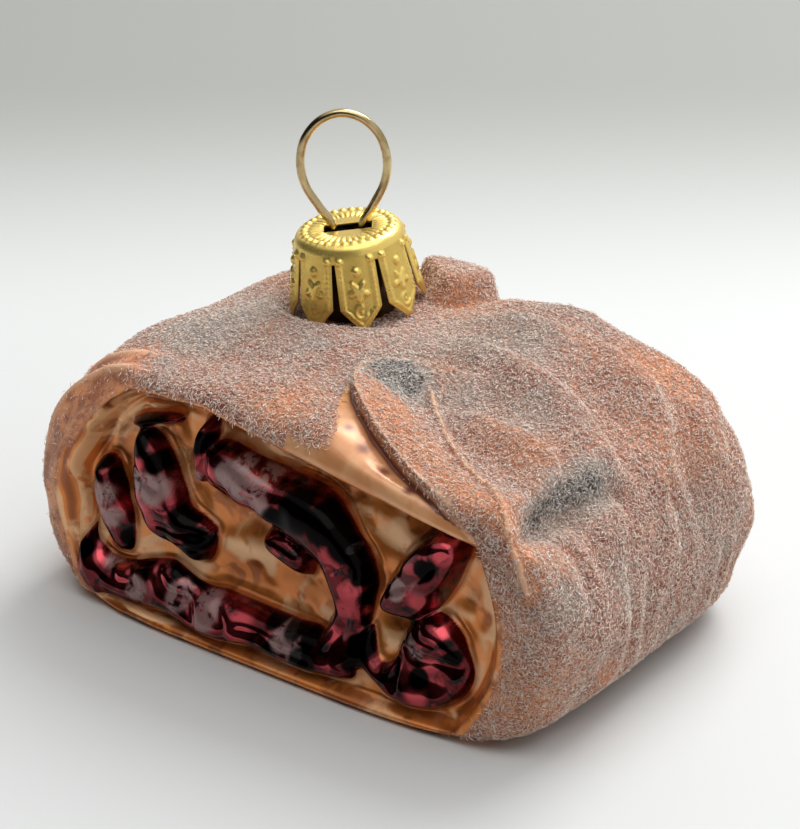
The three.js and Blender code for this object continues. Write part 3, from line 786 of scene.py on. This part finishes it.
def shell_colour(n, painted_light_and_stains, rim):
    """The mottled shell under the fibres, with its smooth rim, whose ridges are painted pale as a
    highlight, and its pale seam, which also carries the painted highlight along the flap's edge.
    """
    warm, grey = n.attribute("warm"), n.attribute("grey")
    shell = n.tint(SHELL, SHELL_RUST, n.noise(420, 3, 0.6), 0.4, 0.62)
    shell = n.blend(warm, shell, SHELL_ORANGE)
    shell = n.tint(shell, SHELL_GREY, grey, 0, 0.7)
    shell = n.tint(shell, SHELL_DARK, grey, 0.7, 1.0)
    thread = n.tint(n.blend(warm, THREAD, THREAD_WARM), THREAD_GREY, grey, 0, 0.7)
    threads = n.math("MAXIMUM", n.threads(1200, 0.045), n.threads(900, 0.035))
    shell = n.blend(n.times(threads, 0.8), shell, thread)
    mottled = n.tint(RIM_LIGHT, RIM_DARK, n.noise(250, 6, 0.7, 0.3), 0.40, 0.58)
    # Painted highlight: the rim's ridges turn pale
    mottled = n.tint(mottled, SHELL_PALE, painted_light_and_stains, 0.3, 0.75, 0.75)
    mottled = n.blend(n.times(threads, 0.35), mottled, THREAD_WARM)
    return n.tint(n.blend(rim, shell, mottled), SHELL_PALE, n.attribute("seam"), 0.3, 1.0, 0.8)


def glass_material():
    n = Nodes(bpy.data.materials.new("painted_glass"))
    inside, painted_light_and_stains, rim = n.attribute("cherry"), n.attribute("painted_light_and_stains"), n.attribute("rim")
    cherry = n.ramp(inside, -0.05, 0.08)
    flocked = n.ramp(n.attribute("flock"), -0.2, 0.3)
    # Painted highlights: pale streaks on the amber's crests and in patches
    highlight_streaks = n.times(n.ramp(painted_light_and_stains, 0.0, 0.18), n.ramp(n.noise(260, 4, 0.55, 0.8), 0.34, 0.48))
    highlight_streaks = n.math("MAXIMUM", highlight_streaks, n.ramp(n.noise(150, 4, 0.55, 0.8), 0.52, 0.68, 0.0, 0.8))
    # Painted grey reflections on the cherries, mottled by noise, and their painted dark reflections
    grey_reflection_mottle = n.ramp(n.noise(480, 4, 0.65, 0.9), 0.32, 0.52, 0.0, 0.9)
    grey_reflection_and_fibre_share = n.times(n.ramp(n.attribute("grey_reflection_and_fibre_share"), 0.25, 0.65), grey_reflection_mottle)
    dark = n.ramp(n.attribute("dark"), 0.3, 0.6)
    lacquer = n.blend(cherry, amber_colour(n, inside, painted_light_and_stains, highlight_streaks), red_colour(n, inside, grey_reflection_and_fibre_share, dark))
    gloss = n.math("SUBTRACT", 1.0, flocked)
    metal = n.times(gloss, n.ramp(cherry, 0, 1, 0.5, 0.96))
    metal = n.fade(metal, n.attribute("band"), 0.4)
    metal = n.fade(metal, n.times(highlight_streaks, n.math("SUBTRACT", 1.0, cherry)), 0.3)
    metal = n.fade(metal, n.times(cherry, grey_reflection_and_fibre_share), 0.35)
    rough = n.blend(cherry, grey_level(0.28), n.blend(grey_reflection_and_fibre_share, grey_level(0.17), grey_level(0.4)))
    furry = n.times(flocked, n.ramp(rim, 0, 1, 0.8, 0.55))
    n.set(Base_Color=n.blend(flocked, lacquer, shell_colour(n, painted_light_and_stains, rim)), Metallic=metal,
          Roughness=n.math("ADD", n.times(rough, gloss), furry), Coat_Roughness=0.05,
          Coat_Weight=n.times(gloss, n.ramp(n.times(dark, cherry), 0, 1, 0.3, 0.04)))
    return n.owner


FIBRE_TINTS = {
    "white": rgb(1.0, 0.89, 0.79),
    "pale": rgb(0.94, 0.75, 0.62),
    "pink": rgb(0.84, 0.53, 0.41),
    "peach": rgb(0.92, 0.55, 0.34),
    "grey": rgb(0.64, 0.58, 0.53),
}


def fibre_material(name, tint):
    n = Nodes(bpy.data.materials.new(name))
    n.set(Base_Color=tint, Roughness=0.55, Sheen_Weight=0.3)
    return n.owner


def metal_material(name, base, dark, roughness, scale, metallic=1.0):
    n = Nodes(bpy.data.materials.new(name))
    grain = n.noise(scale, 4, 0.6)
    n.set(Base_Color=n.tint(base, dark, grain, 0.4, 0.75), Metallic=metallic,
          Roughness=n.ramp(grain, 0.3, 0.8, roughness, roughness + 0.15))
    return n


def gold_material():
    n = metal_material("gold_cap", rgb(0.98, 0.73, 0.20), rgb(0.92, 0.64, 0.16), 0.26, 700, 0.75)
    # Painted shade: the cap's low places beside its raised relief are a darker gold
    out_of_hollow_shade = n.ramp(n.attribute("relief"), 0.0, 0.12)
    grain = n.shader.inputs["Base Color"].links[0].from_socket
    n.set(Base_Color=n.blend(out_of_hollow_shade, rgb(0.80, 0.57, 0.14), grain),
          Normal=n.bump(n.noise(2600, 2, 0.5), 0.00003, 0.5))
    return n.owner


def brass_material():
    return metal_material("brass_wire", rgb(0.60, 0.46, 0.24), rgb(0.36, 0.26, 0.12), 0.15, 500).owner


def neck_material():
    n = Nodes(bpy.data.materials.new("neck_glass"))
    n.set(Base_Color=n.blend(n.noise(300, 3), rgb(0.02, 0.013, 0.01), rgb(0.06, 0.03, 0.02)), Roughness=0.3)
    return n.owner


# ---- The glass body and its fibres ----

# Where the shell and its fibres are grey or warm: x, y, z, reach, strength
GREY_SPOTS = (
    (-23.9, -10.3, 33, 7, 0.8), (-21.5, -3.5, 33.9, 7, 0.75), (-13.1, -6.1, 34.4, 6, 0.45),
    (5, -8, 33.8, 4.6, 1.3), (2.6, -6.4, 34, 4.4, 1.3), (31.4, -6.5, 27.4, 3.4, 1.1),
    (30.6, -10.7, 27, 3.2, 1.2), (30.1, -15.2, 25.9, 2.8, 1.15), (36.4, -20, 20, 4.5, 0.6),
    (31, -8.6, 27.2, 3.2, 1.15), (30.3, -13, 26.5, 3, 1.15), (37.1, 8.4, 18.2, 6, 0.35),
    (37.8, 15.4, 15.5, 5, 0.3), (25.5, 0.4, 30, 3.5, 0.35), (6.8, 5.7, 33.6, 7, 0.6),
    (10.2, 9.3, 33.2, 7, 0.55), (3.6, 10.1, 33.1, 7, 0.4), (12, -4.5, 32.6, 6, 0.5),
    (20, -2.5, 31, 5, 0.45), (-5, 0, 33, 6, 0.3), (37.5, -9, 19, 4, 0.4),
)
WARM_SPOTS = (
    (24.9, 16.6, 31.4, 5, 1), (28.3, 16.5, 30.2, 4.5, 0.9), (24.4, -8.6, 30, 3.4, 0.9),
    (27, -9.4, 29.6, 2.2, 0.8), (20, -8.6, 30.4, 3, 0.6), (6.9, -21.9, 31.8, 4, 0.8),
    (27.1, 1.6, 29.8, 4, 0.4), (-1.5, -18, 33, 5, 0.5), (-30, -24, 26, 8, 1), (-36, -24, 12, 9, 1),
    (35.4, -18.5, 22.7, 2.6, 0.9), (-2.4, 15, 33, 3.4, 1), (30, -23, 8, 6, 0.9), (31, -22.5, 16, 6, 0.7),
    (34.5, 12.1, 25.2, 5, 0.5), (35, -23.8, 9, 6, 0.7), (30.1, 6, 27.8, 3.5, 0.6), (38, 20, 12, 6, 0.4),
)


def spots(places, table):
    """The strongest of a table's round spots at each place; a row is place, reach, strength."""
    strength = np.zeros(len(places))
    size = places.shape[1]
    for row in table:
        away = np.linalg.norm(places - np.array(row[:size]), axis=1)
        strength = np.maximum(strength, bell(away / row[size]) * (row[size + 1:] or (1,))[0])
    return strength


def flock_reach(points, facing, spot):
    """Distance from the border of the flocked part, positive on the fibres' side."""
    x, _, z = points.T
    bare_rim = np.where(x > 0, BARE_RIM["right"], BARE_RIM["left"])
    bare_rim = np.where(z > BARE_RIM["level"], BARE_RIM["top"], bare_rim)
    in_face = np.maximum(-inside_recess(x, z) - bare_rim, 1.5 - 4 * facing)
    band = np.where(z > TOP_LEVEL, -inside_outline(BARE_BAND, spot[:, 0], spot[:, 1]), 9.0)
    local = move(np.linalg.inv(axis_matrix()), points)
    under_cap = np.where(z > TOP_LEVEL, np.hypot(local[:, 0], local[:, 1]) - NECK["radius"] - 0.4, 9.0)
    return np.minimum.reduce([in_face, band, under_cap, z - 1.2])


def top_painted_light_and_stains(spot):
    """Painted light of the bare glass beside the cut face: a highlight on the rim's ridges, shade before
    the flap's overhanging edge, and dark stains.
    """
    x, y, z = spot.T
    before = -behind(FLAP_EDGE, x, y)
    painted_light_and_stains = rim_ridges(x, y, z) - 0.5 * np.where(before > 0, bell((before - 0.5) / 0.5), 0)
    for across, along, reach in STAINS:
        painted_light_and_stains = painted_light_and_stains - STAIN_DEPTH * bell(np.hypot(x - across, y - along) / reach)
    return painted_light_and_stains


def flap_rim_highlight(spot):
    """The flap's edge, painted pale as a highlight and next to bare of fibres, 0 to 1."""
    x, y, z = spot.T
    edge = bell((behind(FLAP_EDGE, x, y) - FLAP_RIM_HIGHLIGHT["inset"]) / FLAP_RIM_HIGHLIGHT["width"])
    return FLAP_RIM_HIGHLIGHT["strength"] * edge * (z > TOP_LEVEL) * (1 - smooth(x, *FLAP_RIM_HIGHLIGHT["ends"]))


def bare_band(points):
    """Where the bare glass is the sheet over the cut face, 0 to 1."""
    x, _, z = points.T
    return smooth(z - lip_edge(x), -0.2, 0.4) * smooth(x, -6, -2)


def smooth_rim(points):
    """Where the shell has next to no fibres: its left rim, 0 to 1."""
    x, y, _ = points.T
    depth = y - FACE_Y
    left = smooth(-x - SMOOTH_RIM["slope"] * depth, *SMOOTH_RIM["left"])
    return left * (1 - smooth(depth, *SMOOTH_RIM["depth"]))


def body_mesh():
    points, quads = cube_grid()
    ngons = []
    centres = points[quads].mean(1)
    underside = (centres[:, 2] < -0.99) | (centres[:, 1] > 0.99)
    points, quads, ngons = refine(points, quads, ngons, ~underside)
    centres = points[quads].mean(1)
    front = centres[:, 1] < -0.999
    top_front = (centres[:, 2] > 0.99) & (centres[:, 0] > -0.05) & (centres[:, 1] < -0.2)
    points, quads, ngons = refine(points, quads, ngons, front | top_front)
    return points, quads.tolist() + [[int(i) for i in loop] for loop in ngons]


def triangle_areas(points, triangles):
    a, b, c = points[triangles].transpose(1, 0, 2)
    return np.linalg.norm(np.cross(b - a, c - a), axis=1) / 2


FIBRES = 116000
FIBRES_A_PIECE = 30000
FIBRE = {"length": (0.5, 1.05), "radius": 0.056, "rise": (0.06, 0.55), "bend": 0.9, "droop": 0.3}


def fibre_roots(points, normals, triangles, reach, seam):
    """Random places on the flocked part and their normals."""
    centres = points[triangles].mean(1)
    bare = np.maximum(0.93 * smooth_rim(centres), 0.65 * seam[triangles].mean(1))
    weight = triangle_areas(points, triangles) * smooth(reach[triangles].mean(1), -0.3, 0.6) * (1 - bare)
    chosen = RANDOM.choice(len(triangles), FIBRES, p=weight / weight.sum())
    corner = triangles[chosen]
    u, v = RANDOM.random((2, FIBRES, 1))
    u, v = np.where(u + v > 1, 1 - u, u), np.where(u + v > 1, 1 - v, v)
    w = 1 - u - v
    root = points[corner[:, 0]] * w + points[corner[:, 1]] * u + points[corner[:, 2]] * v
    normal = normals[corner[:, 0]] * w + normals[corner[:, 1]] * u + normals[corner[:, 2]] * v
    return root, unit(normal)


def bent_fibres(root, normal):
    """Fibres as two joined three-sided needles with a bend between them: points, triangles."""
    count = len(root)
    along = unit(np.cross(normal, RANDOM.normal(size=root.shape)))
    across = np.cross(normal, along)
    rise = RANDOM.uniform(*FIBRE["rise"], (count, 1))
    turn = RANDOM.normal(size=(count, 1)) * FIBRE["bend"]
    first = unit(along + normal * rise)
    second = unit(along + across * turn + normal * (rise - FIBRE["droop"]))
    half = RANDOM.uniform(*FIBRE["length"], (count, 1)) / 2
    middle = root + first * half
    side = unit(across - first * (across * first).sum(1)[:, None])
    other = np.cross(first, side)
    corners = [root, middle + second * half]
    for k in range(3):
        angle = 2 * math.pi * k / 3
        corners.append(middle + FIBRE["radius"] * (side * math.cos(angle) + other * math.sin(angle)))
    shape = []
    for k in range(3):
        here, after = 2 + k, 2 + (k + 1) % 3
        shape += [[after, here, 0], [here, after, 1]]
    points = np.stack(corners, 1).reshape(-1, 3)
    return points, (5 * np.arange(count)[:, None, None] + np.array(shape)).reshape(-1, 3)


def build_body(shift):
    cube, faces = body_mesh()
    points, facing, spot, seam = mould(cube)
    # The seam's share also carries the painted highlight along the flap's edge
    seam = np.maximum(seam, flap_rim_highlight(spot))
    body = mesh_object("glass_slice", points, faces, shift)
    x, _, z = points.T
    in_face = facing > 0
    reach = flock_reach(points, facing, spot)
    grey, warm = shell_tones(points)
    paints = {
        "cherry": np.where(in_face, sample(CHERRY_EDGE, x, z), -9),
        "painted_light_and_stains": np.where(in_face, facing * sample(FACE_PAINTED_LIGHT, x, z), top_painted_light_and_stains(spot)),
        # Painted reflections, shade and highlights on the cherries
        "dark": spots(points[:, ::2], DARK_REFLECTION_AND_SHADE_SPOTS) * in_face,
        "grey_reflection_and_fibre_share": spots(points[:, ::2], GREY_REFLECTIONS) * in_face,
        "bright": spots(points[:, ::2], HIGHLIGHT_SPOTS) * in_face,
        "flock": reach, "rim": smooth_rim(points), "seam": seam, "band": bare_band(points),
        "grey": grey, "warm": warm,
    }
    for name, values in paints.items():
        paint(body, name, values)
    body.data.materials.append(glass_material())
    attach(body, "root")
    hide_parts("glass_body")
    build_flock(body, points, reach, seam, shift)
    return body


def build_flock(body, points, reach, seam, shift):
    mesh = body.data
    mesh.calc_loop_triangles()
    triangles = np.empty(len(mesh.loop_triangles) * 3, np.int32)
    mesh.loop_triangles.foreach_get("vertices", triangles)
    normals = np.empty(len(mesh.vertices) * 3, np.float32)
    mesh.vertices.foreach_get("normal", normals)
    root, normal = fibre_roots(points, normals.reshape(-1, 3), triangles.reshape(-1, 3), reach, seam)
    grey, warm = shell_tones(root)
    draw = RANDOM.random(len(root))
    orange, grey_reflection_and_fibre_share = 0.06 + 0.6 * warm * (1 - grey), 0.08 + 0.28 * grey + 0.5 * smooth(grey, 0.8, 1)
    kind = np.zeros(len(root), int)
    for index, share in enumerate((0.70, 0.34 + 0.42 * warm, orange, grey_reflection_and_fibre_share), 1):
        kind[draw < share] = index
    for index, (name, tint) in enumerate(FIBRE_TINTS.items()):
        own = np.flatnonzero(kind == index)
        material = fibre_material(f"flock_{name}", tint)
        parts = math.ceil(len(own) / FIBRES_A_PIECE)
        for number, rows in enumerate(np.array_split(own, parts)):
            fibre_points, fibre_faces = bent_fibres(root[rows], normal[rows])
            piece = mesh_object(f"flock_{name}_{number + 1}", fibre_points, fibre_faces.tolist(), shift)
            piece.data.materials.append(material)
            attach(piece, "root")


def shell_tones(points):
    """How grey and how warm the shell and its fibres are at each place, 0 to 1."""
    x, y, z = points.T
    grey = spots(points, GREY_SPOTS)
    drift = layers(points, SHELL_DRIFT)
    grey = np.clip(grey + smooth(drift, 0.3, 1.1) * 0.45, 0, np.maximum(grey, 0.65))
    grey = np.minimum(grey, 1)
    flap, leaf = behind(FLAP_EDGE, x, y), behind(LEAF_EDGE, x, y)
    on_edge = np.where(flap > 0, bell((flap - 2) / 3), 0) * (z > 20)
    on_leaf = np.where(leaf > 0, bell((leaf - 0.6) / 0.9), 0) * (z > 20)
    warm = np.maximum.reduce([spots(points, WARM_SPOTS), 0.9 * on_edge, 0.5 * on_leaf])
    warm = np.clip(warm + smooth(-drift, 0.3, 1.1) * 0.6, 0, 1)
    return grey * (1 - 0.7 * on_edge * (y < -11)), warm


# ---- Neck, cap and wire, on their leaning axis ----

CAP_ROWS = {"disc": 26, "petal": 44}
PETAL_COLUMNS = 40
DISC_COUNTS = (32, 36)  # beads and flutes around the disc
BEADS = {"ring": 5.5, "radius": 0.42, "height": 0.26}
FLUTES = {"from": 3.1, "to": 4.95, "width": 0.46, "height": 0.22}
ROPE = {"inset": 0.6, "width": 0.26, "height": 0.34, "pitch": 0.62, "start": 8.8}
KNOB = {"inset": 0.6, "level": 9.3, "radius": 0.5, "height": 0.42}
MOTIF = {  # heights over the ground of the petal, sizes and how far they stand out
    "ball": (7.9, 0.56, 0.4), "star": (5.5, 0.62, 0.85, 0.32), "ring": (2.9, 0.72, 0.2, 0.32),
}


def ball(distance, radius, height):
    return height * np.sqrt(np.clip(1 - (distance / radius) ** 2, 0, 1))


def gap_width(level):
    return np.interp(level, *np.transpose(PETAL_GAP))


def around(radius, angle, level):
    """Points at a radius, an angle and a height around the axis."""
    return np.stack(np.broadcast_arrays(radius * np.cos(angle), radius * np.sin(angle), level), -1)


def circle(sides):
    return 2 * math.pi * np.arange(sides) / sides


def cap_profile():
    """Radius and height down the cap, from the slot's edge (left to the caller) to the tips."""
    disc = np.linspace(0, 1, CAP_ROWS["disc"])
    shoulder = np.array(CAP["shoulder"])
    levels = np.linspace(CAP["top"] - CAP["band_down"], CAP["tip_at"], CAP_ROWS["petal"])
    radii = mix(CAP["band"], CAP["tip"], (levels[0] - levels) / (levels[0] - levels[-1]))
    return disc, shoulder, np.stack([radii, levels], 1)


def disc_relief(angle, radius):
    beads, flutes = [(angle * count / (2 * math.pi) + 0.5) % 1 - 0.5 for count in DISC_COUNTS]
    away = np.hypot(beads * 2 * math.pi * radius / DISC_COUNTS[0], radius - BEADS["ring"])
    middle = (FLUTES["from"] + FLUTES["to"]) / 2
    fluted = np.hypot(flutes / FLUTES["width"], (radius - middle) / (FLUTES["to"] - middle))
    return ball(away, BEADS["radius"], BEADS["height"]) + ball(fluted, 1, FLUTES["height"])


def polar(across, up):
    return np.hypot(across, up), np.arctan2(up, across)


def petal_relief(across, level, half):
    """What is stamped into a petal, at a distance across it and a height."""
    slope = np.gradient(half[0]) / np.gradient(level[0])
    inset = (half - np.abs(across)) / np.sqrt(1 + slope**2)
    rope = bell((inset - ROPE["inset"]) / ROPE["width"]) * (level < ROPE["start"])
    twist = 0.68 + 0.32 * np.sin(2 * math.pi * (level + np.abs(across) * 0.8) / ROPE["pitch"])
    relief = ROPE["height"] * rope * twist
    knob = np.hypot(half - np.abs(across) - KNOB["inset"], level - KNOB["level"])
    relief = np.maximum(relief, ball(knob, KNOB["radius"], KNOB["height"]))
    level_at, radius, height = MOTIF["ball"]
    relief = np.maximum(relief, ball(np.hypot(across, level - level_at), radius, height))
    level_at, core, ray, height = MOTIF["star"]
    away, turn = polar(across, level - level_at)
    star = core + ray * np.abs(np.cos(2.5 * turn + 0.8)) ** 2
    relief = np.maximum(relief, height * smooth(star - away, -0.08, 0.16))
    level_at, radius, width, height = MOTIF["ring"]
    away, turn = polar(across, level - level_at)
    ring = bell((away - radius) / width) * (np.abs(turn - 0.4) > 0.7)
    relief = np.maximum(relief, height * ring)
    return np.maximum(relief, height * bell(away / width))


def cap_mesh():
    """Points of the stamped cap on its own axis, its faces, and how far each point stands out."""
    disc, shoulder, petal = cap_profile()
    side = np.linspace(-1, 1, PETAL_COLUMNS + 1)
    top_half = math.pi / PETALS - gap_width(petal[0, 1]) / 2 / petal[0, 0]
    points, relief, faces = [], [], []
    rows = len(disc) + len(shoulder) + len(petal)
    whole = len(disc) + len(shoulder) + int(np.sum(petal[:, 1] > PETAL_GAP[-1][0]))
    for number in range(PETALS):
        centre = math.radians(PETAL_TURN) + 2 * math.pi * number / PETALS
        angle = centre + side * top_half
        turn = angle - math.radians(HANGER_TURN)
        slot = np.minimum(SLOT["length"] / 2 / np.maximum(np.abs(np.cos(turn)), 1e-6),
                          SLOT["width"] / 2 / np.maximum(np.abs(np.sin(turn)), 1e-6))
        radius = mix(slot[None], CAP["flat"], disc[:, None])
        angles = np.repeat(angle[None], len(radius), 0)
        out = disc_relief(angles, radius) * smooth(disc[:, None], 0.0, 0.15)
        parts = [around(radius, angles, CAP["top"] + out), around(shoulder[:, :1], angle, shoulder[:, 1:])]
        bumps = [out, np.full((len(shoulder), len(angle)), CAP["shoulder_relief"])]
        radius, level = petal[:, :1] + 0 * angle, petal[:, 1:] + 0 * angle
        half = math.pi / PETALS * radius - gap_width(level) / 2
        across = side * half
        column = petal_relief(across.T, level.T, half.T).T
        angles = centre + across / radius
        parts.append(around(radius + column, angles, level))
        bumps.append(column)
        points.append(np.concatenate(parts).reshape(-1, 3))
        relief.append(np.concatenate(bumps).ravel())
    columns = PETAL_COLUMNS + 1
    index = np.arange(PETALS * rows * columns).reshape(PETALS, rows, columns)
    for number in range(PETALS):
        own, after = index[number], index[(number + 1) % PETALS]
        loops = [own[:-1, :-1], own[1:, :-1], own[1:, 1:], own[:-1, 1:]]
        faces.append(np.stack(loops, -1).reshape(-1, 4))
        loops = [own[:whole - 1, -1], own[1:whole, -1], after[1:whole, 0], after[:whole - 1, 0]]
        faces.append(np.stack(loops, -1))
    return np.concatenate(points), np.concatenate(faces), np.concatenate(relief)


def build_cap(shift):
    points, faces, relief = cap_mesh()
    cap = mesh_object("stamped_cap", move(axis_matrix(), points), faces.tolist(), shift)
    paint(cap, "relief", relief)
    sheet = cap.modifiers.new("sheet", "SOLIDIFY")
    sheet.thickness = CAP["sheet"] * MM
    sheet.offset = -1
    cap.data.materials.append(gold_material())
    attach(cap, "root")
    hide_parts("cap")


def build_neck(shift):
    """The glass neck that the cap is clipped to, with its open bore."""
    lip = (NECK["radius"] + NECK["bore"]) / 2
    profile = [(0, NECK["root"]), (NECK["radius"], NECK["root"]), (NECK["radius"], NECK["top"] - 0.5),
               (lip, NECK["top"]), (NECK["bore"], NECK["top"] - 0.5), (NECK["bore"], 0.6), (0, 0.6)]
    sides = NECK["sides"]
    ends = [(0, 0, profile[0][1]), (0, 0, profile[-1][1])]
    points = np.concatenate([turned_rings(profile[1:-1], sides), ends])
    faces, last = ring_faces(len(profile) - 2, sides), len(points) - 1
    for k in range(sides):
        after, top = (k + 1) % sides, last - 1 - sides
        faces += [[last - 1, after, k], [top + k, top + after, last]]
    neck = mesh_object("glass_neck", move(axis_matrix(), points), faces, shift)
    neck.data.materials.append(neck_material())
    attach(neck, "root")
    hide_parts("glass_body")


def between(a, b, value, low, high):
    return mix(a, b, (value - low) / (high - low))


def wire_path():
    """A smooth curve through the bends of the loop, from leg to leg, in its own plane."""
    half, widest, rise = LOOP["half"], LOOP["widest"], LOOP["rise"]
    right = [(LOOP["leg_spread"], -LOOP["leg_depth"]), (LOOP["leg_gap"], 0), (half * 0.63, widest * 0.32),
             (half * 0.92, widest * 0.66), (half, widest), (half * 0.86, mix(widest, rise, 0.5)),
             (half * 0.48, mix(widest, rise, 0.87))]
    bends = np.array([*right, (0, rise), *[(-across, up) for across, up in reversed(right)]])
    ends = np.array([2 * bends[0] - bends[1], *bends, 2 * bends[-1] - bends[-2]])
    path = []
    for p in zip(ends, ends[1:], ends[2:], ends[3:]):
        knots = np.cumsum([0.0, *(np.sqrt(np.linalg.norm(b - a)) for a, b in zip(p, p[1:]))])
        for t in np.linspace(knots[1], knots[2], WIRE["steps"], endpoint=False):
            near = [between(p[i], p[i + 1], t, knots[i], knots[i + 1]) for i in range(3)]
            low, high = [between(near[i], near[i + 1], t, knots[i], knots[i + 2]) for i in range(2)]
            path.append(between(low, high, t, knots[1], knots[2]))
    return np.array([*path, bends[-1]])


def build_wire(shift):
    path = wire_path()
    run = unit(np.gradient(path, axis=0))
    sides, angle = WIRE["sides"], circle(WIRE["sides"])
    out = np.stack([run[:, 1], -run[:, 0]], 1)[:, None] * (np.cos(angle) * WIRE["radius"])[None, :, None]
    across, up = np.moveaxis(path[:, None] + out, 2, 0)
    level = np.broadcast_to(np.sin(angle) * WIRE["radius"], across.shape)
    points = np.stack([across, level, up], -1).reshape(-1, 3)
    faces = ring_faces(len(path), sides)
    faces += [list(range(sides))[::-1], list(range((len(path) - 1) * sides, len(path) * sides))]
    turn = Matrix.Rotation(math.radians(HANGER_TURN), 4, "Z")
    lean = Matrix.Rotation(math.radians(LOOP_LEAN), 4, "Y")
    stand = np.array(Matrix.Translation((0, 0, CAP["top"])) @ turn @ lean)
    wire = mesh_object("wire_loop", move(axis_matrix(), move(stand, points)), faces, shift)
    wire.data.materials.append(brass_material())
    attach(wire, "root")
    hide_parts("hanger_wire")


# ---- Stage, light and camera ----

CAMERA = {"azimuth": 37.0, "elevation": 26.0, "distance": 0.390, "focal_px": 3200.0, "height_px": 829.0}
CAMERA_TARGET = (-0.6, -0.5, 24.5)  # in the design frame
SENSOR = 36.0
WORLD = {"bright": 0.68, "dark": 0.01, "colour": rgb(0.985, 0.99, 1.0)}
# The floor darkens from near to far behind the slice: painted falloff of the light
FLOOR_NEAR = rgb(0.68, 0.69, 0.68)
FLOOR_FAR = rgb(0.34, 0.345, 0.32)
FLOOR_FADE = (0.075, 0.19)  # metres behind the slice, seen from the camera
FLOOR_RINGS = (0.4, 1.2, 3.0)
FLOOR_SIDES = 96


def look_from(azimuth, elevation):
    a, e = math.radians(azimuth), math.radians(elevation)
    return Vector((math.sin(a) * math.cos(e), -math.cos(a) * math.cos(e), math.sin(e)))


def aim(obj, place, target):
    obj.location = place
    obj.rotation_euler = (Vector(target) - Vector(place)).to_track_quat("-Z", "Y").to_euler()
    bpy.context.scene.collection.objects.link(obj)


def build_camera(shift):
    data = bpy.data.cameras.new("camera")
    data.sensor_fit = "VERTICAL"
    data.sensor_height = SENSOR
    data.lens = CAMERA["focal_px"] / CAMERA["height_px"] * SENSOR
    data.clip_start = 0.01
    camera = bpy.data.objects.new("camera", data)
    target = (Vector(CAMERA_TARGET) + Vector(shift)) * MM
    aim(camera, target + look_from(CAMERA["azimuth"], CAMERA["elevation"]) * CAMERA["distance"], target)
    bpy.context.scene.camera = camera


def area_light(name, place, size, power, colour=(1, 1, 1), target=(0, 0, 0.02)):
    data = bpy.data.lights.new(name, "AREA")
    data.shape = "RECTANGLE"
    data.size, data.size_y = size
    data.energy = power
    data.color = colour
    aim(bpy.data.objects.new(name, data), place, target)


def build_stage():
    points = turned_rings([(radius / MM, 0) for radius in FLOOR_RINGS], FLOOR_SIDES)
    faces = ring_faces(len(FLOOR_RINGS), FLOOR_SIDES) + [list(range(FLOOR_SIDES))[::-1]]
    floor = mesh_object("floor", points, [face[::-1] for face in faces])
    n = Nodes(bpy.data.materials.new("floor"))
    x, y, _ = n.place("Object")
    away = n.math("ADD", n.times(x, -0.6), n.times(y, 0.8))
    # Painted falloff of the light: darker further behind the slice
    n.set(Base_Color=n.tint(FLOOR_NEAR, FLOOR_FAR, away, *FLOOR_FADE), Roughness=0.6)
    floor.data.materials.append(n.owner)
    area_light("key", (0.0, 0.43, 0.5), (0.4, 0.4), 3.05)
    area_light("top", (0.2, -0.05, 0.8), (0.8, 0.8), 2.7)
    build_world()
    bpy.context.scene.view_settings.view_transform = "Standard"


def build_world():
    """A bright room with a dark side in front of the cut face, which the gloss reflects."""
    n = Nodes(bpy.data.worlds.new("world"), "Background")
    x, y, z = n.place("Generated")
    towards = n.math("ADD", n.times(x, -0.4), n.times(y, -0.92))
    dark = n.times(n.ramp(towards, 0.05, 0.35), n.math("SUBTRACT", 1.0, n.ramp(z, 0.66, 0.8)))
    light = n.math("SUBTRACT", WORLD["bright"], n.times(dark, WORLD["bright"] - WORLD["dark"]))
    n.set(Color=WORLD["colour"], Strength=light)
    bpy.context.scene.world = n.owner


def design_shift():
    """From the design frame to the frame's origin: the body's middle stands in the same place."""
    cube, _ = cube_grid()
    points = mould(cube)[0]
    low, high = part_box("glass_body")
    middle = (points.min(0) + points.max(0)) / 2
    return ((low.x + high.x) / 2 / MM - middle[0], (low.y + high.y) / 2 / MM - middle[1], 0)


shift = design_shift()
build_camera(shift)
build_stage()
build_body(shift)
build_neck(shift)
build_cap(shift)
build_wire(shift)
